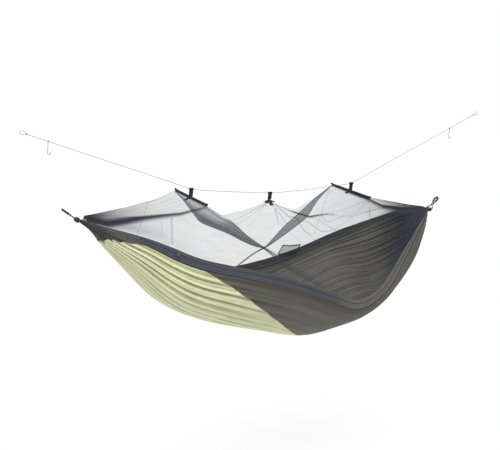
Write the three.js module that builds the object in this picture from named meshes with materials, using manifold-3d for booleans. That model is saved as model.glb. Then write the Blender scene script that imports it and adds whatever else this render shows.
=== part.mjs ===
// Camping hammock with an insect net, hung between two trees. Millimetres, +Z up.
// +X runs from the foot end to the head end, and -Y is the side with the zip.
// The model is laid out about the middle of the hang and then moved, so that the
// origin is the bearing point inside the foot suspension loop.

import * as THREE from 'three';
import { mergeVertices } from 'three/addons/utils/BufferGeometryUtils.js';
import Module from 'manifold-3d';

const wasm = await Module();
wasm.setup();

// ---- driving dimensions ----------------------------------------------------

const CHANNEL_X = 1145;          // half distance between the two end channels
const FABRIC_X = 1128;           // where the gathered cloth starts
const SPREADER_X = 522;          // spreader bars, each side of the middle
const CENTRE_X = -30;            // middle hanging point of the net
const FOOT_BAR_Z = 109;
const HEAD_BAR_Z = 130;
const BAR_HALF = 200;            // half length of a spreader bar, tips included
const BAR_RADIUS = 3;
const LINE_RADIUS = 1;           // ridge line
const LOOP_RADIUS = 3;           // suspension loop cord
const LOOP_REACH = 94;           // channel axis to the middle of the loop's bend
const FOOT_SLOPE = THREE.MathUtils.degToRad(35);
const HEAD_SLOPE = THREE.MathUtils.degToRad(52);
const CLOTH = 2.5;               // stand-in thickness of a cloth layer
const LAYER_GAP = 8;             // between the inner body and its outer panels
const GAP = 0.5;                 // between pieces that touch
const BAND_BELOW = 16.5;         // net skirt, below and above the rim line
const BAND_ABOVE = 22;
const HEM_DROP = 23;
const HEM_RADIUS = 5.4;
const EDGE_DROP = 30;            // top edge of the body cloth, below the rim line
const HEM_GAP = 2.5;

// Hung and loaded shape, from the foot end to the head end:
// x, near rim y and z, far rim y and z, lowest line y and z.
const HANG = [
  [-1128, -12, 5, 12, 5, 0, -12],
  [-1050, -70, -17, 70, -30, 0, -70],
  [-840, -198, -73, 198, -160, -10, -262],
  [-600, -297, -166, 297, -320, -20, -476],
  [-350, -365, -218, 365, -425, -25, -590],
  [-50, -400, -292, 400, -450, -25, -668],
  [200, -390, -380, 390, -412, -20, -703],
  [420, -350, -450, 350, -338, -15, -600],
  [640, -285, -385, 285, -226, -10, -515],
  [840, -195, -200, 200, -122, -5, -480],
  [1020, -100, -46, 100, -24, 0, -345],
  [1085, -55, -12, 55, -6, 0, -205],
  [1128, -12, 5, 12, 5, 0, -20],
];

// Top of the net: x, height, half width of the flat top.
const NET_TOP = [
  [-1122, 18, 9],
  [-1000, 24, 52],
  [-840, 34, 112],
  [-656, 60, 160],
  [-522, 101, 198],
  [-400, 36, 150],
  [-275, -24, 92],
  [-150, 18, 46],
  [-30, 76, 9],
  [80, 32, 44],
  [200, 2, 84],
  [360, 46, 146],
  [522, 122, 198],
  [656, 72, 160],
  [850, 44, 106],
  [1010, 26, 48],
  [1122, 18, 9],
];

// Ridge line from its foot knot to its head knot, in the plane of the hang: x, z.
const RIDGE_ROUTE = [
  [-1408, 424], [-1309, 393], [-1180, 353], [-1050, 313], [-920, 273], [-790, 233],
  [-660, 193], [-560, 161], [-522, 150], [-480, 144], [-360, 136], [-200, 128],
  [-30, 122], [120, 130], [280, 144], [430, 160], [522, 172], [570, 194],
  [680, 249], [800, 307], [920, 365], [1040, 423], [1150, 476], [1223, 511],
  [1310, 554], [1400, 597],
];

// ---- materials -------------------------------------------------------------

function finish(color, roughness, metalness = 0) {
  return () => new THREE.MeshStandardMaterial({ color, roughness, metalness });
}

const FINISH = {
  olive: finish(0x5b5c54, 0.75),
  green: finish(0xc3ca98, 0.7),
  slate: finish(0x484d55, 0.7),
  net: finish(0x8f949e, 0.85),
  webbing: finish(0x1b1d20, 0.8),
  cord: finish(0x35383c, 0.75),
  paleCord: finish(0xb4b6b4, 0.8),
  bar: finish(0x2a2c30, 0.45),
  rubber: finish(0x16171a, 0.9),
  steel: finish(0x9a9da0, 0.35, 0.9),
};

const hammock = new THREE.Group();

function addPiece(name, geometry, material, parent = hammock) {
  const mesh = new THREE.Mesh(geometry, material());
  mesh.name = name;
  parent.add(mesh);
  return mesh;
}

// ---- geometry helpers ------------------------------------------------------

// Smooth value of one column of a table whose first column is x.
function column(table, index) {
  const slope = (i) => {
    const before = table[Math.max(i - 1, 0)];
    const after = table[Math.min(i + 1, table.length - 1)];
    return (after[index] - before[index]) / (after[0] - before[0]);
  };
  return (x) => {
    let i = 0;
    while (i < table.length - 2 && x > table[i + 1][0]) i += 1;
    const [a, b] = [table[i], table[i + 1]];
    const span = b[0] - a[0];
    const t = THREE.MathUtils.clamp((x - a[0]) / span, 0, 1);
    const [t2, t3] = [t * t, t * t * t];
    return (2 * t3 - 3 * t2 + 1) * a[index] + (t3 - 2 * t2 + t) * span * slope(i)
      + (3 * t2 - 2 * t3) * b[index] + (t3 - t2) * span * slope(i + 1);
  };
}

// Straight-line value of one column, for edges that are pulled taut.
function taut(table, index) {
  return (x) => {
    let i = 0;
    while (i < table.length - 2 && x > table[i + 1][0]) i += 1;
    const [a, b] = [table[i], table[i + 1]];
    return THREE.MathUtils.mapLinear(x, a[0], b[0], a[index], b[index]);
  };
}

// A closed body from points and triangles, turned so that its faces point out.
function body(points, triangles) {
  let volume = 0;
  for (const [a, b, c] of triangles) {
    volume += points[a].dot(new THREE.Vector3().crossVectors(points[b], points[c]));
  }
  const index = triangles.flatMap(([a, b, c]) => (volume < 0 ? [a, c, b] : [a, b, c]));
  const geometry = new THREE.BufferGeometry();
  geometry.setAttribute('position', new THREE.Float32BufferAttribute(
    points.flatMap((p) => [p.x, p.y, p.z]), 3));
  geometry.setIndex(index);
  geometry.computeVertexNormals();
  return geometry;
}

// Closed rings of equal count joined in order. A loop joins its last ring to its
// first; otherwise both ends are closed by a fan.
function skin(rings, loop = false) {
  const size = rings[0].length;
  const points = rings.flat();
  const triangles = [];
  const last = loop ? rings.length : rings.length - 1;
  for (let i = 0; i < last; i += 1) {
    const [row, next] = [i * size, ((i + 1) % rings.length) * size];
    for (let j = 0; j < size; j += 1) {
      const k = (j + 1) % size;
      triangles.push([row + j, next + j, next + k], [row + j, next + k, row + k]);
    }
  }
  if (!loop) {
    for (const [start, turned] of [[0, false], [(rings.length - 1) * size, true]]) {
      for (let j = 1; j < size - 1; j += 1) {
        const [a, b, c] = [start, start + j, start + j + 1];
        triangles.push(turned ? [a, c, b] : [a, b, c]);
      }
    }
  }
  return body(points, triangles);
}

// Evenly spaced values from one number to another, both included.
function stations(from, to, count) {
  return Array.from({ length: count + 1 }, (_, i) => THREE.MathUtils.lerp(from, to, i / count));
}

// A thin closed shell: the surface at the given values of u and v, moved along its
// normal to two depths.
function shell(surface, us, vs, low, high) {
  const small = 1e-3;
  const reach = small * (us.at(-1) - us[0]);
  const within = (value, list) => THREE.MathUtils.clamp(value, list[0], list.at(-1));
  const [uCount, vCount] = [us.length - 1, vs.length - 1];
  const points = [];
  for (const depth of [low, high]) {
    for (const u of us) {
      for (const v of vs) {
        const along = surface(within(u + reach, us), v).sub(surface(within(u - reach, us), v));
        const across = surface(u, within(v + small, vs)).sub(surface(u, within(v - small, vs)));
        const normal = along.cross(across).normalize();
        points.push(surface(u, v).addScaledVector(normal, depth));
      }
    }
  }
  const row = vCount + 1;
  const layer = (uCount + 1) * row;
  const triangles = [];
  const quad = (a, b, c, d) => triangles.push([a, b, c], [a, c, d]);
  for (let i = 0; i < uCount; i += 1) {
    for (let j = 0; j < vCount; j += 1) {
      const a = i * row + j;
      quad(a, a + 1, a + row + 1, a + row);
      quad(layer + a, layer + a + row, layer + a + row + 1, layer + a + 1);
    }
    for (const [a, b] of [[i * row, (i + 1) * row], [(i + 1) * row + vCount, i * row + vCount]]) {
      quad(a, b, layer + b, layer + a);
    }
  }
  for (let j = 0; j < vCount; j += 1) {
    const end = uCount * row;
    for (const [a, b] of [[j + 1, j], [end + j, end + j + 1]]) {
      quad(a, b, layer + b, layer + a);
    }
  }
  return body(points, triangles);
}

// A ring of points round a centre, in the plane of two unit vectors.
function ringAt(centre, radius, sides, first, second) {
  return Array.from({ length: sides }, (_, i) => {
    const angle = ((i + 0.5) * 2 * Math.PI) / sides;
    return centre.clone()
      .addScaledVector(first, radius * Math.cos(angle))
      .addScaledVector(second, radius * Math.sin(angle));
  });
}

// A rod along a curve that lies near one plane, whose normal is `side`.
function rod(centres, radii, sides, side) {
  return skin(centres.map((centre, i) => {
    const before = centres[Math.max(i - 1, 0)];
    const after = centres[Math.min(i + 1, centres.length - 1)];
    const tangent = after.clone().sub(before).normalize();
    const first = new THREE.Vector3().crossVectors(side, tangent).normalize();
    const second = new THREE.Vector3().crossVectors(tangent, first);
    return ringAt(centre, radii[i] ?? radii[0], sides, first, second);
  }));
}

function solid(geometry) {
  const bare = geometry.clone();
  bare.deleteAttribute('normal');
  bare.deleteAttribute('uv');
  const merged = mergeVertices(bare, 1e-4);
  return new wasm.Manifold(new wasm.Mesh({
    numProp: 3,
    vertProperties: new Float32Array(merged.attributes.position.array),
    triVerts: new Uint32Array(merged.index.array),
  }));
}

function geometryOf(manifold) {
  const mesh = manifold.getMesh();
  const geometry = new THREE.BufferGeometry();
  geometry.setAttribute('position', new THREE.Float32BufferAttribute(mesh.vertProperties, 3));
  geometry.setIndex(Array.from(mesh.triVerts));
  geometry.computeVertexNormals();
  return geometry;
}

const Y_AXIS = new THREE.Vector3(0, 1, 0);
const point = (x, y, z) => new THREE.Vector3(x, y, z);

// ---- the hung cloth --------------------------------------------------------

const nearY = column(HANG, 1);
const nearZ = column(HANG, 2);
const farY = column(HANG, 3);
const farZ = column(HANG, 4);
const keelY = column(HANG, 5);
const keelZ = column(HANG, 6);

// Everything that is sewn along the rim shrinks into the gathers at the ends.
const gather = (x) => THREE.MathUtils.clamp((FABRIC_X - Math.abs(x)) / 180, 0.12, 1);

// A point beside a rim: `rise` is measured square to the rim and shrinks with the
// gathers, `extra` doesn't shrink, and `lean` is towards the middle of the hammock.
function besideRim(y, z, inward) {
  return (x, rise = 0, extra = 0, lean = 0) => {
    const step = 4;
    const slope = (z(x + step) - z(x - step)) / (2 * step);
    const lift = rise * gather(x) + extra;
    const square = Math.hypot(1, slope);
    return point(x - (slope * lift) / square, y(x) + inward * lean * gather(x), z(x) + lift / square);
  };
}

const rims = { near: besideRim(nearY, nearZ, 1), far: besideRim(farY, farZ, -1) };

// Across the body, v runs from the near top edge under the sleeper to the far one.
function bodySurface(x, v) {
  const turn = Math.PI * v;
  const near = rims.near(x, -EDGE_DROP, -HEM_GAP);
  const far = rims.far(x, -EDGE_DROP, -HEM_GAP);
  const middle = near.clone().lerp(far, 0.5);
  const place = near.lerp(far, (1 - Math.cos(turn)) / 2);
  const pull = Math.sin(turn);
  place.z += (keelZ(x) - middle.z) * pull;
  place.y += (keelY(x) - middle.y) * pull * pull;
  return place;
}

// The seam between the foot panel and the head panel runs diagonally under the body.
const SEAM_START_X = -560;
const SEAM_KEEL_X = 420;
const SEAM_END_X = 700;
const SEAM_HALF_GAP = 0.6;

function seamX(v) {
  return v < 0.5
    ? THREE.MathUtils.mapLinear(v, 0, 0.5, SEAM_START_X, SEAM_KEEL_X)
    : THREE.MathUtils.mapLinear(v, 0.5, 1, SEAM_KEEL_X, SEAM_END_X);
}

const PANEL_FOOT_X = -1000;
const PANEL_HEAD_X = 1085;

function clothBody() {
  const across = stations(0, 1, 26);
  const half = CLOTH / 2;
  addPiece('inner_body', shell(bodySurface, stations(-FABRIC_X, FABRIC_X, 32), across, -half, half),
    FINISH.olive);

  // The surface's normal points in to the sleeper, so the outer panels lie at minus depths.
  const low = half + LAYER_GAP;
  const depths = [-low - CLOTH, -low];
  const share = stations(0, 1, 34);
  const foot = (u, v) => bodySurface(
    THREE.MathUtils.lerp(PANEL_FOOT_X, seamX(v) - SEAM_HALF_GAP, u), v);
  const head = (u, v) => bodySurface(
    THREE.MathUtils.lerp(seamX(v) + SEAM_HALF_GAP, PANEL_HEAD_X, u), v);
  addPiece('outer_foot_panel', shell(foot, share, across, ...depths), FINISH.green);
  addPiece('outer_head_panel', shell(head, share, across, ...depths), FINISH.olive);
}

// ---- rim hems, net skirts, zip ---------------------------------------------

const HEM_END_X = 1050;
const SKIRT_END_X = 1104;
const SKIRT_LEAN = 4;            // towards the middle, over the skirt's height

function rimTrim(side) {
  const rim = rims[side];
  const along = stations(-HEM_END_X, HEM_END_X, 34);
  const centres = along.map((x) => rim(x, -HEM_DROP, -1));
  addPiece(`rim_hem_${side}`, rod(centres, along.map((x) => HEM_RADIUS * gather(x)), 6, Y_AXIS),
    FINISH.webbing);
  const skirt = (x, v) => rim(x, THREE.MathUtils.lerp(-BAND_BELOW, BAND_ABOVE, v), 0, SKIRT_LEAN * v);
  addPiece(`net_skirt_${side}`, shell(skirt, stations(-SKIRT_END_X, SKIRT_END_X, 34),
    stations(0, 1, 2), -1, 1), FINISH.slate);
}

const ZIP_CHAIN_RADIUS = 1.5;
const ZIP_OUT = 4.2;             // chain axis, outside the near skirt
const ZIP_RISE = 3;
const ZIP_FOOT_X = -880;
const ZIP_HEAD_X = 960;
const SLIDER_X = -700;
const ZIP_TRAVEL_X = 110;
const LUG_EYE = [0, -9.6, 1];

function zipPoint(x) {
  return rims.near(x, ZIP_RISE, 0, -ZIP_OUT);
}

// The slider's frame: x along the chain, y into the hammock, z up.
function zipFrame() {
  const group = new THREE.Group();
  const along = zipPoint(SLIDER_X + ZIP_TRAVEL_X).sub(zipPoint(SLIDER_X)).normalize();
  const inward = point(-along.y, along.x, 0).normalize();
  const up = new THREE.Vector3().crossVectors(along, inward);
  group.quaternion.setFromRotationMatrix(new THREE.Matrix4().makeBasis(along, inward, up));
  group.position.copy(zipPoint(SLIDER_X));
  hammock.add(group);
  return group;
}

function zip() {
  const along = stations(ZIP_FOOT_X, ZIP_HEAD_X, 40);
  addPiece('zip_chain', rod(along.map(zipPoint), [ZIP_CHAIN_RADIUS], 6, Y_AXIS), FINISH.webbing);

  // A channel that clears the chain and lets the skirt side stay open.
  const frame = zipFrame();
  const block = new THREE.BoxGeometry(16, 9, 13);
  block.translate(0, -2.6, 0);
  const slot = new THREE.BoxGeometry(20, 9, 7.6);
  slot.translate(0, 0.9, 0);
  const lug = new THREE.BoxGeometry(3, 6, 7);
  lug.translate(0, -9.4, 1);
  const eye = new THREE.CylinderGeometry(1.9, 1.9, 8, 12);
  eye.rotateZ(Math.PI / 2);
  eye.translate(...LUG_EYE);
  const slider = solid(block).subtract(solid(slot)).add(solid(lug)).subtract(solid(eye));
  addPiece('zip_slider', geometryOf(slider), FINISH.steel, frame);

  // The pull hangs from the lug: a wire bow through the eye and a flat tab.
  const hanging = new THREE.Group();
  const chainWay = point(1, 0, 0).applyQuaternion(frame.quaternion);
  hanging.position.copy(frame.position).add(point(...LUG_EYE).applyQuaternion(frame.quaternion));
  hanging.rotation.z = Math.atan2(chainWay.y, chainWay.x);
  hammock.add(hanging);
  const bow = [point(0, 0, 0), point(3.2, 0, 0), point(4.6, 0, -2), point(4.6, 0, -7), point(2.5, 0, -11),
    point(-2.5, 0, -11), point(-4.6, 0, -7), point(-4.6, 0, -2), point(-3.2, 0, 0)];
  const bowCurve = new THREE.CatmullRomCurve3(bow, true, 'centripetal');
  const count = 24;
  const bowRings = Array.from({ length: count }, (_, i) => {
    const tangent = bowCurve.getTangent(i / count);
    const first = new THREE.Vector3().crossVectors(Y_AXIS, tangent).normalize();
    return ringAt(bowCurve.getPoint(i / count), 0.8, 6, first, Y_AXIS);
  });
  const tab = new THREE.BoxGeometry(7, 2.4, 26);
  tab.translate(0, 0, -23.5);
  const pull = solid(skin(bowRings, true)).add(solid(tab));
  addPiece('zip_pull', geometryOf(pull), FINISH.webbing, hanging);
}

// ---- net -------------------------------------------------------------------

const netZ = taut(NET_TOP, 1);
const netHalf = taut(NET_TOP, 2);
const NET_END_X = 1104;
const NET_MIDDLE_HALF_GAP = 0.6;
const NET_GAP = 2.6;             // between the skirt and the net
const NET_CORNER = 0.7;          // share of the net's width that is its side

// One side of the net: up from the skirt to the edge of the flat top, then in to
// the ridge seam over the middle.
function netSurface(side, x, v) {
  const sign = side === 'near' ? -1 : 1;
  const foot = rims[side](x, BAND_ABOVE, NET_GAP, SKIRT_LEAN);
  const edge = point(x, sign * netHalf(x), netZ(x));
  const ridge = point(x, sign * NET_MIDDLE_HALF_GAP, netZ(x));
  return v < NET_CORNER
    ? foot.lerp(edge, v / NET_CORNER)
    : edge.lerp(ridge, (v - NET_CORNER) / (1 - NET_CORNER));
}

function net() {
  const spans = { foot: [-NET_END_X, CENTRE_X - NET_MIDDLE_HALF_GAP],
    head: [CENTRE_X + NET_MIDDLE_HALF_GAP, NET_END_X] };
  const across = [...stations(0, NET_CORNER, 4), ...stations(NET_CORNER, 1, 2).slice(1)];
  for (const [end, [from, to]] of Object.entries(spans)) {
    const between = NET_TOP.map(([x]) => x).filter((x) => x > from + 1 && x < to - 1);
    const corners = [from, ...between, to];
    const along = corners.slice(1).flatMap((x, i) => [(corners[i] + x) / 2, x]);
    for (const side of ['near', 'far']) {
      const surface = (x, v) => netSurface(side, x, v);
      addPiece(`net_${end}_${side}`, shell(surface, [from, ...along], across, -0.8, 0.8), FINISH.net);
    }
  }
}

// A net pocket sewn inside the far side, open at its top.
const POCKET = { x: 346, y: 316, z: -352, width: 128, height: 84, depth: 14, wall: 1.6 };

function pocket() {
  const { x, y, z, width, height, depth, wall } = POCKET;
  const outer = new THREE.BoxGeometry(width, depth, height);
  const inner = new THREE.BoxGeometry(width - 2 * wall, depth - 2 * wall, height);
  inner.translate(0, 0, wall);
  const group = new THREE.Group();
  group.position.set(x, y, z + height / 2);
  group.rotation.x = THREE.MathUtils.degToRad(34);
  hammock.add(group);
  addPiece('gear_pocket', geometryOf(solid(outer).subtract(solid(inner))), FINISH.net, group);
}

// ---- spreaders -------------------------------------------------------------

const SLEEVE_RADIUS = 5.4;
const SLEEVE_BORE = 3.5;
const TIP_LENGTH = 14;
const TIP_RADIUS = 5;

// Closed lathe profile round the Y axis.
function turned(profile, sides) {
  const closed = [...profile, profile[0]].map(([r, y]) => new THREE.Vector2(r, y));
  return mergedLathe(closed, sides);
}

function mergedLathe(profile, sides) {
  const lathe = new THREE.LatheGeometry(profile, sides);
  lathe.deleteAttribute('normal');
  lathe.deleteAttribute('uv');
  return mergeVertices(lathe, 1e-4);
}

function spreader(end, x, barZ, lineZ) {
  const group = new THREE.Group();
  group.position.set(x, 0, barZ);
  hammock.add(group);
  const barEnd = BAR_HALF - TIP_LENGTH + 2;
  const bar = new THREE.CylinderGeometry(BAR_RADIUS, BAR_RADIUS, 2 * barEnd, 10);
  addPiece(`spreader_bar_${end}`, bar, FINISH.bar, group);

  const sleeveEnd = BAR_HALF - TIP_LENGTH - GAP;
  const sleeve = turned([[SLEEVE_BORE, -sleeveEnd], [SLEEVE_RADIUS, -sleeveEnd],
    [SLEEVE_RADIUS, sleeveEnd], [SLEEVE_BORE, sleeveEnd]], 10);
  addPiece(`spreader_sleeve_${end}`, sleeve, FINISH.webbing, group);

  for (const [side, sign] of [['near', -1], ['far', 1]]) {
    const tip = mergedLathe([
      [0, barEnd + 0.4], [SLEEVE_BORE, barEnd + 0.4], [SLEEVE_BORE, BAR_HALF - TIP_LENGTH],
      [TIP_RADIUS, BAR_HALF - TIP_LENGTH], [TIP_RADIUS, BAR_HALF - 3], [3, BAR_HALF], [0, BAR_HALF],
    ].map(([r, y]) => new THREE.Vector2(r, y)), 10);
    if (sign < 0) tip.rotateX(Math.PI);
    addPiece(`spreader_tip_${end}_${side}`, tip, FINISH.rubber, group);
  }

  // The patch saddles the sleeve and spreads its pull over the net below.
  const saddle = new THREE.Shape();
  const inner = SLEEVE_RADIUS + GAP;
  const outer = inner + 1.5;
  const lift = THREE.MathUtils.degToRad(15);
  saddle.moveTo(-31, -11);
  saddle.lineTo(-inner * Math.cos(lift), inner * Math.sin(lift));
  saddle.absarc(0, 0, inner, Math.PI - lift, lift, true);
  saddle.lineTo(27, -12);
  saddle.lineTo(27.6, -10.6);
  saddle.lineTo(outer * Math.cos(lift), outer * Math.sin(lift) + 0.4);
  saddle.absarc(0, 0, outer, lift, Math.PI - lift, false);
  saddle.lineTo(-31.6, -9.6);
  addAcross(`net_patch_${end}`, saddle, 26, FINISH.webbing, group);
  strap(end, x, barZ + outer + GAP, lineZ);
}

// A shape drawn in x and z, extruded evenly to both sides of y = 0.
function addAcross(name, shape, width, material, parent) {
  const geometry = new THREE.ExtrudeGeometry(shape, { depth: width, bevelEnabled: false, curveSegments: 8 });
  geometry.translate(0, 0, -width / 2);
  geometry.rotateX(Math.PI / 2);
  addPiece(name, geometry, material, parent);
}

// Webbing strap: a loop round the ridge line with a flat tail down to the patch.
const STRAP_WIDTH = 15;
const STRAP_BORE = 4.6;
const STRAP_OUTER = 6.4;

function strap(end, x, bottom, lineZ) {
  const outline = new THREE.Shape();
  const tail = 1.4;
  const neck = Math.asin(tail / STRAP_OUTER);
  outline.moveTo(-tail, bottom - lineZ);
  outline.lineTo(tail, bottom - lineZ);
  outline.lineTo(tail, -STRAP_OUTER * Math.cos(neck));
  outline.absarc(0, 0, STRAP_OUTER, -Math.PI / 2 + neck, 1.5 * Math.PI - neck, false);
  const bore = new THREE.Path();
  bore.absarc(0, 0, STRAP_BORE, 0, 2 * Math.PI, true);
  outline.holes.push(bore);
  const geometry = new THREE.ExtrudeGeometry(outline, {
    depth: STRAP_WIDTH, bevelEnabled: false, curveSegments: 9 });
  geometry.translate(0, 0, -STRAP_WIDTH / 2);
  geometry.rotateX(Math.PI / 2);
  geometry.rotateZ(Math.PI / 2);
  const group = new THREE.Group();
  group.position.set(x, 0, lineZ);
  hammock.add(group);
  addPiece(`strap_${end}`, geometry, FINISH.webbing, group);
}

// The middle of the net hangs from a strap and a patch folded over the ridge seam.
function centreHanger(lineZ) {
  const fold = new THREE.Shape();
  const top = netZ(CENTRE_X) + 5.2;
  fold.moveTo(-34, -26);
  fold.lineTo(-8, 0);
  fold.lineTo(8, 0);
  fold.lineTo(34, -26);
  fold.lineTo(35.4, -25);
  fold.lineTo(8.8, 1.8);
  fold.lineTo(-8.8, 1.8);
  fold.lineTo(-35.4, -25);
  const group = new THREE.Group();
  group.position.set(CENTRE_X, 0, top);
  group.rotation.z = Math.PI / 2;
  hammock.add(group);
  addAcross('net_patch_centre', fold, 24, FINISH.webbing, group);
  strap('centre', CENTRE_X, top + 1.8 + GAP, lineZ);
}

// ---- ridge line ------------------------------------------------------------

const ridgePoints = RIDGE_ROUTE.map(([x, z]) => point(x, 0, z));
const ridgeCurve = new THREE.CatmullRomCurve3(ridgePoints, false, 'centripetal');
const lineHeight = taut(RIDGE_ROUTE, 1);

function ridgeLine() {
  const steps = 50;
  const centres = Array.from({ length: steps + 1 }, (_, i) => ridgeCurve.getPoint(i / steps));
  addPiece('ridge_line', rod(centres, [LINE_RADIUS], 8, Y_AXIS), FINISH.paleCord);

  // Each end is tied into a small eye behind a stopper knot.
  const ends = { foot: [ridgePoints[0], ridgePoints[1]],
    head: [ridgePoints.at(-1), ridgePoints.at(-2)] };
  for (const [end, [tip, before]] of Object.entries(ends)) {
    const knot = new THREE.SphereGeometry(4.2, 8, 6);
    knot.scale(1.5, 1, 1);
    knot.translate(6.8, 0, 0);
    const loop = new THREE.TorusGeometry(13, 1.2, 6, 20);
    loop.scale(1.25, 0.75, 1);
    loop.rotateX(Math.PI / 2);
    loop.translate(27, 0, 0);
    const group = new THREE.Group();
    group.position.copy(tip);
    const away = tip.clone().sub(before).normalize();
    group.rotation.y = Math.atan2(-away.z, away.x);
    hammock.add(group);
    addPiece(`ridge_line_loop_${end}`, geometryOf(solid(knot).add(solid(loop))), FINISH.paleCord, group);
  }
}

// Wire hooks ride on the ridge line near its ends, for its tree cords.
const HOOK_X = { foot: -1309, head: 1223 };
const HOOK_WIRE = 1.3;
const HOOK_EYE = 4.2;

function lineHook(end) {
  const x = HOOK_X[end];
  const centre = point(x, 0, lineHeight(x));
  const rise = Math.atan2(lineHeight(x + 20) - lineHeight(x - 20), 40);
  const eye = new THREE.TorusGeometry(HOOK_EYE, HOOK_WIRE, 6, 14);
  eye.rotateY(Math.PI / 2);
  eye.rotateY(-rise);
  const bend = 7;
  const lowest = -64;
  const shank = [point(0, 0, -HOOK_EYE), point(0, 0, -20), point(0, 0, -38), point(0, 0, lowest + bend)];
  for (let i = 1; i <= 6; i += 1) {
    const turn = (i / 6) * Math.PI * 1.05;
    shank.push(point(bend - bend * Math.cos(turn), 0, lowest + bend - bend * Math.sin(turn)));
  }
  shank.push(point(2 * bend + 0.6, 0, lowest + bend + 7));
  const wire = rod(shank, [HOOK_WIRE], 6, Y_AXIS);
  const group = new THREE.Group();
  group.position.copy(centre);
  hammock.add(group);
  addPiece(`line_hook_${end}`, geometryOf(solid(eye).add(solid(wire))), FINISH.steel, group);
}

// ---- end channels and suspension loops -------------------------------------

const CHANNEL_BORE = 5;
const CHANNEL_RADIUS = 14;
const CHANNEL_HALF = 18;

// Half of the loop's centre line, across (y) and out along the pull (s), from the
// middle of the channel to the middle of the bend.
const LOOP_HALF = [
  [0, 0], [8, 0], [15, 0], [21, 1.5], [24.5, 6], [22, 14], [14, 23], [7.5, 29.5],
  [6, 36], [6, 44], [6, 52], [7.5, 59], [11, 68], [12.5, 77], [10.5, 86], [6, 91.6], [0, LOOP_REACH],
];
const WHIPPING = { from: 35, to: 55, half: 10.4, thick: 5.2, bore: 3.9 };
const SLEEVE_FROM = 61;
const LOOP_SLEEVE_OUTER = 5.6;
const LOOP_SLEEVE_BORE = 3.5;

// Rings round the whole loop, or round its bend beyond `from`.
function loopRings(radius, from) {
  const half = new THREE.CatmullRomCurve3(LOOP_HALF.map(([y, s]) => point(s, y, 0)), false, 'centripetal');
  const count = 22;
  const samples = Array.from({ length: count }, (_, i) => (i + 0.5) / count);
  const right = samples.map((t) => ({ at: half.getPointAt(t), tangent: half.getTangentAt(t) }))
    .filter(({ at }) => at.x >= from);
  const left = right.map(({ at, tangent }) => ({
    at: point(at.x, -at.y, 0), tangent: point(-tangent.x, tangent.y, 0) })).reverse();
  const normal = point(0, 0, 1);
  return [...right, ...left].map(({ at, tangent }) => {
    const outward = new THREE.Vector3().crossVectors(tangent, normal).negate().normalize();
    return ringAt(at, radius, 8, outward, normal);
  });
}

// A bent pipe: outer rings out, inner rings back, joined at both ends.
function pipe(outerRings, innerRings) {
  return skin([...outerRings, ...innerRings.reverse()], true);
}

// In this group +X is the pull and Y is the channel's axis.
function suspension(end, sign, slope) {
  const hinge = new THREE.Group();
  hinge.position.set(sign * CHANNEL_X, 0, 0);
  hammock.add(hinge);
  const channel = turned([[CHANNEL_BORE, -CHANNEL_HALF], [11, -CHANNEL_HALF],
    [CHANNEL_RADIUS, 4 - CHANNEL_HALF], [CHANNEL_RADIUS, CHANNEL_HALF - 4], [11, CHANNEL_HALF],
    [CHANNEL_BORE, CHANNEL_HALF]], 16);
  addPiece(`end_channel_${end}`, channel, FINISH.olive, hinge);

  const pull = new THREE.Group();
  pull.rotation.y = sign > 0 ? -slope : Math.PI + slope;
  hinge.add(pull);
  addPiece(`loop_cord_${end}`, skin(loopRings(LOOP_RADIUS, -1), true), FINISH.cord, pull);

  const { from, to, half, thick, bore } = WHIPPING;
  const wrap = new THREE.Shape();
  const flat = half - thick;
  wrap.absarc(flat, 0, thick, -Math.PI / 2, Math.PI / 2, false);
  wrap.absarc(-flat, 0, thick, Math.PI / 2, 1.5 * Math.PI, false);
  for (const strand of [-6, 6]) {
    const hole = new THREE.Path();
    hole.absarc(strand, 0, bore, 0, 2 * Math.PI, true);
    wrap.holes.push(hole);
  }
  const whipping = new THREE.ExtrudeGeometry(wrap, { depth: to - from, bevelEnabled: false, curveSegments: 7 });
  whipping.rotateZ(Math.PI / 2);
  whipping.rotateY(Math.PI / 2);
  whipping.translate(from, 0, 0);
  addPiece(`loop_whipping_${end}`, whipping, FINISH.paleCord, pull);

  const sleeve = pipe(loopRings(LOOP_SLEEVE_OUTER, SLEEVE_FROM), loopRings(LOOP_SLEEVE_BORE, SLEEVE_FROM));
  addPiece(`loop_sleeve_${end}`, sleeve, FINISH.webbing, pull);
}

// ---- assembly --------------------------------------------------------------

clothBody();
rimTrim('near');
rimTrim('far');
zip();
net();
pocket();
spreader('foot', -SPREADER_X, FOOT_BAR_Z, lineHeight(-SPREADER_X));
spreader('head', SPREADER_X, HEAD_BAR_Z, lineHeight(SPREADER_X));
centreHanger(lineHeight(CENTRE_X));
ridgeLine();
lineHook('foot');
lineHook('head');
suspension('foot', -1, FOOT_SLOPE);
suspension('head', 1, HEAD_SLOPE);

// The middle of the facet inside the foot loop's bend becomes the origin.
const bend = loopRings(LOOP_SLEEVE_OUTER, SLEEVE_FROM);
const eyeReach = Math.min(...bend[bend.length / 2].map(({ x }) => x));
hammock.position.set(CHANNEL_X + eyeReach * Math.cos(FOOT_SLOPE), 0, -eyeReach * Math.sin(FOOT_SLOPE));

export default hammock;
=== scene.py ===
"""Camping hammock with an insect-net roof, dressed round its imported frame.

Lengths are in metres. The tables give the hang in millimetres about the middle of
the two end channels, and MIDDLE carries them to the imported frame.
"""

import math

import bmesh
import bpy
import numpy as np
from mathutils import Matrix, Vector


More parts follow.
